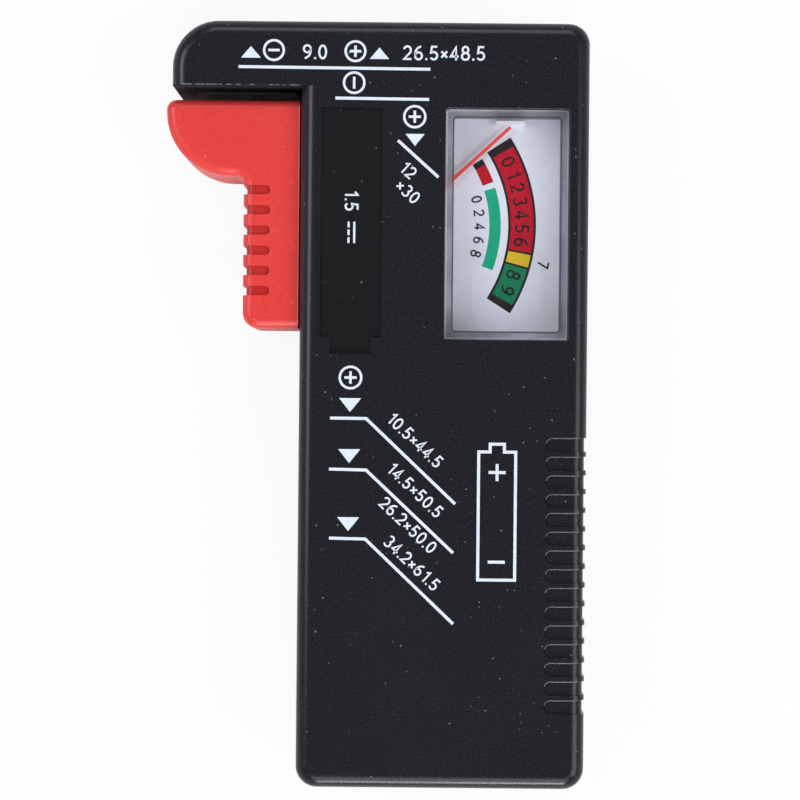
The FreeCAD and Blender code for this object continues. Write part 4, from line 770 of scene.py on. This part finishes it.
hub_angle = math.degrees(math.asin(ROOT_HALF / HUB_RADIUS))
tail_angle = math.degrees(math.asin(ROOT_HALF / TAIL_RADIUS))
needle_outline = [(NEEDLE_LENGTH, -TIP_HALF), (NEEDLE_LENGTH, TIP_HALF)]
needle_outline += bend((0, 0), HUB_RADIUS, HUB_RADIUS, hub_angle, 180 - hub_angle, HUB_STEPS)
needle_outline += bend((TAIL_MIDDLE, 0), TAIL_RADIUS, TAIL_RADIUS, tail_angle, 360 - tail_angle, TAIL_STEPS)
needle_outline += bend((0, 0), HUB_RADIUS, HUB_RADIUS, 180 + hub_angle, 360 - hub_angle, HUB_STEPS)
to_rest = Matrix.Rotation(math.radians(REST_ANGLE), 2)
needle_outline = [Vector((pivot_x, pivot_y)) + to_rest @ Vector(corner) for corner in needle_outline]
needle_low, needle_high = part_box("pointer")
needle_mesh = bmesh.new()
slab(needle_mesh, needle_outline, needle_low.z, needle_high.z)
needle_paint = plain_finish(
    "needle_paint", (0.78, 0.07, 0.050), (0.86, 0.095, 0.068), roughness=0.4, scale=NEEDLE_CLOUDS
)
needle_blade = closed_piece("needle_blade", needle_mesh, needle_paint)
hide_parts("pointer")
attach(needle_blade, "needle")

# Meter cover: one clear polished moulding, a low box over the dial with a raised cap in the case's window.
# Its own colour is clear. Painted light is put into its tint: the cap's walls get a grey streaked painted
# reflection, between a painted dark line inside and a painted highlight along the outer edge, and the rim
# under the case gets painted shade.

CAP_LOW = (9.75, 9.285)
CAP_HIGH = (26.95, 41.535)
CAP_WALL = 1.1
CAP_LINE = 0.20
CAP_EDGE = 0.20
CAP_CORNER = 0.45
CLEAR = (0.97, 0.98, 1.0)
CLEAR_LAMP_WAY = (0.98, 0.98, 0.99)
CLEAR_SHEEN = (0.01, 0.05)
CLEAR_IOR = 1.49
# Painted reflection, painted highlight and painted shade colours for the cap, whose plastic is clear.
WALL_REFLECTION_DARK = (0.34, 0.35, 0.40)
WALL_REFLECTION_PALE = (0.74, 0.75, 0.81)
WALL_SHEEN = 0.4
CAP_EDGE_HIGHLIGHT = (0.95, 0.97, 1.0)
CAP_LINE_SHADE = (0.10, 0.11, 0.13)
UNDER_CASE_SHADE = (0.02, 0.02, 0.022)
REFLECTION_STREAKS = 170.0
POLISH_PATCHES = 400.0
clear_plastic, tree, shader, place = new_finish("clear_plastic")
position = split(tree, place)
to_edge = []
past_corner = []
for axis in range(2):
    middle = (CAP_LOW[axis] + CAP_HIGH[axis]) / 2 * MM
    half = (CAP_HIGH[axis] - CAP_LOW[axis]) / 2 * MM
    from_middle = maths(tree, "ABSOLUTE", maths(tree, "SUBTRACT", position[axis], middle))
    to_edge.append(maths(tree, "SUBTRACT", half, from_middle))
    straight = half - (CAP_WALL + CAP_CORNER) * MM
    past_corner.append(maths(tree, "MAXIMUM", maths(tree, "SUBTRACT", from_middle, straight)))
from_edge = maths(tree, "MINIMUM", *to_edge)
reach = hypotenuse(tree, *past_corner)
in_wall = maths(tree, "GREATER_THAN", reach, CAP_CORNER * MM)
in_line = every(tree, in_wall, maths(tree, "LESS_THAN", reach, (CAP_CORNER + CAP_LINE) * MM))
on_edge = maths(tree, "LESS_THAN", from_edge, CAP_EDGE * MM)
outside = maths(tree, "LESS_THAN", from_edge, -SKIN)
# Painted reflection in the walls, then a painted highlight on the outer edge, a painted dark line inside and
# painted shade on the rim under the case.
wall_reflection = ramp(tree, noise(tree, place, REFLECTION_STREAKS, detail=2.0), WALL_REFLECTION_DARK, WALL_REFLECTION_PALE)
painted_light_tint = mix(tree, in_wall, CLEAR, wall_reflection)
painted_light_tint = mix(tree, on_edge, painted_light_tint, CAP_EDGE_HIGHLIGHT)
painted_light_tint = mix(tree, in_line, painted_light_tint, CAP_LINE_SHADE)
tree.links.new(mix(tree, outside, painted_light_tint, UNDER_CASE_SHADE), shader.inputs["Base Color"])
polished = ramp(tree, noise(tree, place, POLISH_PATCHES), *CLEAR_SHEEN)
tree.links.new(mix(tree, in_wall, polished, WALL_SHEEN), shader.inputs["Roughness"])
shader.inputs["Transmission Weight"].default_value = 1.0
shader.inputs["IOR"].default_value = CLEAR_IOR
lamp_way = tree.nodes.new("ShaderNodeBsdfTransparent")
lamp_way.inputs["Color"].default_value = rgba(CLEAR_LAMP_WAY)
rays = tree.nodes.new("ShaderNodeLightPath").outputs
clear = tree.nodes.new("ShaderNodeMixShader")
tree.links.new(maths(tree, "MAXIMUM", rays["Is Shadow Ray"], rays["Is Diffuse Ray"]), clear.inputs["Fac"])
tree.links.new(shader.outputs["BSDF"], clear.inputs[1])
tree.links.new(lamp_way.outputs["BSDF"], clear.inputs[2])
tree.links.new(clear.outputs["Shader"], tree.nodes["Material Output"].inputs["Surface"])
paint(clear_plastic, "meter_cover")

# Printed marks: one pass of white ink on the face and in the recess. Polarity signs, arrows and leader lines
# show where each cell goes; plain numbers give volts, and the cells' diameters and lengths.

INK_DARK = (0.68, 0.76, 0.86)
INK_PALE = (0.78, 0.86, 0.95)
INK_CLOUDS = 900.0
INK_GRAIN = 4000.0
INK_BUMP = (0.2, 0.01 * MM)
INK_FILM = 0.03 * MM
STROKE = 0.42
RING_STROKE = 0.8 * STROKE
RING_POINTS = 48
BAR_STROKE = 0.85 * STROKE
BAR_SHARE = 0.52
MINUS = (0,)
UPRIGHT = (90,)
PLUS = (0, 90)
SIGNS = (
    ((-14.62, 49.6), 1.55, MINUS), ((-3.16, 49.55), 1.55, PLUS), ((-3.3, 45.12), 1.6, UPRIGHT),
    ((5.26, 40.42), 1.65, PLUS), ((-3.43, 3.68), 1.68, PLUS),
)
ARROWS = (
    ((-17.85, 50.14), 2.8, 1.64), ((0.22, 50.1), 2.75, 1.62), ((5.33, 36.3), 2.7, -1.7),
    ((-3.45, -1.17), 3.1, -1.95), ((-3.52, -8.34), 3.1, -1.95), ((-3.57, -17.9), 3.1, -1.95),
)
LEADER_LINES = (
    ((-19.58, 47.24), (7.38, 47.11)),
    ((-5.92, 42.94), (7.26, 42.86)),
    ((2.93, 37.07), (8.66, 31.94)),
    ((-6.25, -2.04), (-1.19, -2.06), (11.43, -13.96)),
    ((-6.33, -9.21), (-1.13, -9.30), (11.21, -20.85)),
    ((-6.23, -18.91), (-1.17, -19.0), (11.31, -30.83)),
)
FACE_NUMBERS = (
    ("9.0", 2.0, (-8.85, 49.4), 0), ("26.5x48.5", 2.0, (9.3, 49.4), 0),
    ("12", 1.75, (4.4, 32.9), -42), ("x30", 1.75, (4.4, 29.9), -42),
    ("10.5x44.5", 1.75, (5.72, -5.02), -43.3), ("14.5x50.5", 1.75, (5.79, -12.04), -43.3),
    ("26.2x50.0", 1.75, (4.85, -16.97), -43.3), ("34.2x61.5", 1.75, (5.46, -22.31), -43.3),
)
CELL_MIDDLE = (17.3, -15.6)
CELL_HALF = (2.6, 9.0)
NUB_HALF = 1.0
NUB_RISE = 1.1
CELL_PLUS = 0.68
CELL_MINUS = -0.72
CELL_SIGN_HALF = 1.2
CELL_VOLTS = ("1.5", 1.9, (-3.5, 28.6), -90)
DIRECT_STROKE = 0.3
DIRECT_LINE = ((-3.1, 25.6), (-3.1, 22.6))
DASH_START = (-3.9, 25.6)
DASH_LENGTH = 0.8
DASH_PITCH = 1.1
DASH_COUNT = 3


def film_on(level):
    """The lowest and highest level of a film of ink on a face."""
    return (level - INK_FILM / 3, level + INK_FILM)


def bars(mesh, centre, half, turns, width, low, high):
    """One bar, or two that cross: a minus or a plus sign."""
    for order, turn in enumerate(turns):
        trace(mesh, bend(centre, half, half, turn, turn + 180, 1), width, low, high + order * LAYER)


def ringed_sign(mesh, centre, radius, turns, low, high):
    """A minus or a plus sign in a ring."""
    middle_radius = radius - RING_STROKE / 2
    trace(mesh, ring(centre, middle_radius, middle_radius, RING_POINTS), RING_STROKE, low, high, closed=True)
    bars(mesh, centre, radius * BAR_SHARE, turns, BAR_STROKE, low, high)


def arrow(mesh, tip, width, height, low, high):
    """A filled triangle with its tip at a point; a negative height points down."""
    x, y = tip
    slab(mesh, [(x, y), (x - width / 2, y - height), (x + width / 2, y - height)], low, high)


def cell_outline(middle, half):
    """The outline of a round cell seen from its side, with its nub at the top."""
    x, y = middle
    left, right, low, high = x - half[0], x + half[0], y - half[1], y + half[1]
    nub = [(x - NUB_HALF, high), (x - NUB_HALF, high + NUB_RISE), (x + NUB_HALF, high + NUB_RISE)]
    return nub + [(x + NUB_HALF, high), (right, high), (right, low), (left, low), (left, high)]


white_ink, tree, shader, place = new_finish("white_ink", roughness=0.5)
tree.links.new(ramp(tree, noise(tree, place, INK_CLOUDS), INK_DARK, INK_PALE), shader.inputs["Base Color"])
emboss(tree, shader, noise(tree, place, INK_GRAIN), *INK_BUMP)

marks = bmesh.new()
face_film = film_on(FACE)
for centre, radius, turns in SIGNS:
    ringed_sign(marks, centre, radius, turns, *face_film)
for tip, width, height in ARROWS:
    arrow(marks, tip, width, height, *face_film)
for line in LEADER_LINES:
    trace(marks, line, STROKE, *face_film)
for text, height, middle, turn in FACE_NUMBERS:
    figures(marks, text, height, middle, turn, *face_film)
trace(marks, cell_outline(CELL_MIDDLE, CELL_HALF), STROKE, *face_film, closed=True)
for share, turns in ((CELL_PLUS, PLUS), (CELL_MINUS, MINUS)):
    centre = (CELL_MIDDLE[0], CELL_MIDDLE[1] + CELL_HALF[1] * share)
    bars(marks, centre, CELL_SIGN_HALF, turns, STROKE, *face_film)
recess_film = film_on(FACE - RECESS_DEPTH)
figures(marks, *CELL_VOLTS, *recess_film)
trace(marks, DIRECT_LINE, DIRECT_STROKE, *recess_film)
for dash in range(DASH_COUNT):
    x, y = DASH_START[0], DASH_START[1] - DASH_PITCH * dash
    trace(marks, [(x, y), (x, y - DASH_LENGTH)], DIRECT_STROKE, *recess_film)
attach(closed_piece("case_marks", marks, white_ink), "case")

# Lips of the grip slots: the mould leaves a low rounded bead along the upper side of each slot, coloured
# pale as a painted highlight. It follows the slot's round end, runs right and dies out on the case's rounded
# edge.

GRIP_END = (25.085, -5.515)
GRIP_HALF = 0.985
GRIP_PITCH = 2.635
GRIP_COUNT = 15
EDGE_ROUND = 1.9
LIP_WIDTH = 0.30
LIP_HEIGHT = 0.10
LIP_SIDES = 16
LIP_START = 165.0
LIP_STOP = 60.0
LIP_STEPS = 8
LIP_HIGHLIGHT_CLOUDS = 700.0


def row_down(group, source, shape):
    """Nodes that repeat a shape down the case's side, Count times and a Pitch apart."""
    step = group.nodes.new("ShaderNodeCombineXYZ")
    row = group.nodes.new("GeometryNodeMeshLine")
    copies = group.nodes.new("GeometryNodeInstanceOnPoints")
    group.links.new(maths(group, "MULTIPLY", source["Pitch"], -1.0), step.inputs["Y"])
    group.links.new(source["Count"], row.inputs["Count"])
    group.links.new(step.outputs["Vector"], row.inputs["Offset"])
    group.links.new(row.outputs["Mesh"], copies.inputs["Points"])
    group.links.new(shape, copies.inputs["Instance"])
    return copies.outputs["Instances"]


lip_level = FACE / MM - LIP_HEIGHT / 2
lip_round = EDGE_ROUND - LIP_HEIGHT / 2
round_middle = (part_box("front_cover")[1].x / MM - EDGE_ROUND, FACE / MM - EDGE_ROUND)
slot_bend = bend(GRIP_END, GRIP_HALF, GRIP_HALF, LIP_START, 90, LIP_STEPS)
edge_bend = bend(round_middle, lip_round, lip_round, 90, LIP_STOP, LIP_STEPS)
lip_line = [(x, y, lip_level) for x, y in slot_bend]
lip_line += [(x, GRIP_END[1] + GRIP_HALF, z) for x, z in edge_bend]
# Painted highlight: the lips are coloured several times paler than the case.
lip_highlight = plain_finish(
    "lip_highlight_plastic", (0.060, 0.060, 0.072), (0.105, 0.105, 0.125), roughness=0.3, scale=LIP_HIGHLIGHT_CLOUDS
)
group, source, inputs = new_tree("lip_row", Width="Float", Height="Float", Pitch="Float", Count="Int")
close_tree(group, source, row_down(group, source, sweep(group, source, LIP_SIDES)))
lip_values = (LIP_WIDTH * MM, LIP_HEIGHT * MM, GRIP_PITCH * MM, GRIP_COUNT, lip_highlight)
grip_lips = made_along("grip_lips", [lip_line], group, inputs, lip_values)
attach(grip_lips, "case")

# Case screws: three self-tapping screws with crossed heads, cold-formed from steel and plated with zinc.
# They are sunk in the rear half and bite into bosses of the front half.

paint(zinc, "case_screws")

# Floor, light and camera: a sheet of white paper under soft lamps on all sides, seen from straight above.
# The lamps stand well away from the zenith, so that the flat face doesn't mirror them into the camera.

FLOOR_HALF = 1.5
FLOOR_LEVEL = -0.05 * MM
PAPER = (0.86, 0.87, 0.88)
PAPER_SEEN = 0.9
PAPER_MIRRORED = 0.1
ZENITH = (0.05, 0.055, 0.065)
HORIZON = (0.62, 0.67, 0.76)
LAMPS = {
    "right_light": ((0.50, -0.16, 0.64), 0.46, 2.4),
    "left_light": ((-0.50, 0.14, 0.66), 0.40, 2.2),
    "near_light": ((0.04, -0.56, 0.64), 0.42, 1.8),
    "far_light": ((0.02, 0.58, 0.62), 0.40, 1.4),
    "front_light": ((0.06, -0.80, 0.34), 0.24, 2.7),
}
CAMERA_HEIGHT = 420 * MM
FRAME_WIDTH = 112.44 * MM
CAMERA_AIM = Vector((3.56 * MM, 0.585 * MM, FACE))
CAMERA_ROLL = 0.0095

floor_data = bpy.data.meshes.new("floor")
corner_signs = ((-1, -1), (1, -1), (1, 1), (-1, 1))
floor_corners = [(x * FLOOR_HALF, y * FLOOR_HALF, FLOOR_LEVEL) for x, y in corner_signs]
floor_data.from_pydata(floor_corners, [], [(0, 1, 2, 3)])
floor = new_piece("floor", floor_data)
paper, tree, shader, place = new_finish("white_paper", roughness=0.9)
shader.inputs["Base Color"].default_value = rgba(PAPER)
glow = tree.nodes.new("ShaderNodeEmission")
rays = tree.nodes.new("ShaderNodeLightPath").outputs
mirrored = maths(tree, "MAXIMUM", rays["Is Glossy Ray"], rays["Is Transmission Ray"])
glow_share = maths(
    tree, "MAXIMUM",
    maths(tree, "MULTIPLY", rays["Is Camera Ray"], PAPER_SEEN),
    maths(tree, "MULTIPLY", mirrored, PAPER_MIRRORED),
)
whitened = tree.nodes.new("ShaderNodeMixShader")
tree.links.new(glow_share, whitened.inputs["Fac"])
tree.links.new(shader.outputs["BSDF"], whitened.inputs[1])
tree.links.new(glow.outputs["Emission"], whitened.inputs[2])
tree.links.new(whitened.outputs["Shader"], tree.nodes["Material Output"].inputs["Surface"])
floor_data.materials.append(paper)

world = bpy.data.worlds.new("studio")
scene.world = world
world.use_nodes = True
tree = world.node_tree
height = split(tree, tree.nodes.new("ShaderNodeTexCoord").outputs["Generated"])["Z"]
sky = ramp(tree, height, HORIZON, ZENITH, start=0.05, end=0.75)
tree.links.new(sky, tree.nodes["Background"].inputs["Color"])
for name, (spot, width, watts) in LAMPS.items():
    lamp = bpy.data.lights.new(name, "AREA")
    lamp.shape = "SQUARE"
    lamp.size = width
    lamp.energy = watts
    holder = new_piece(name, lamp)
    holder.location = spot
    holder.rotation_euler = (-Vector(spot)).to_track_quat("-Z", "Y").to_euler()

lens = bpy.data.cameras.new("camera")
lens.lens = lens.sensor_width * CAMERA_HEIGHT / FRAME_WIDTH
camera = new_piece("camera", lens)
camera.location = CAMERA_AIM + Vector((0, 0, CAMERA_HEIGHT))
camera.rotation_euler = (0, 0, CAMERA_ROLL)
scene.camera = camera
scene.view_settings.view_transform = "Standard"
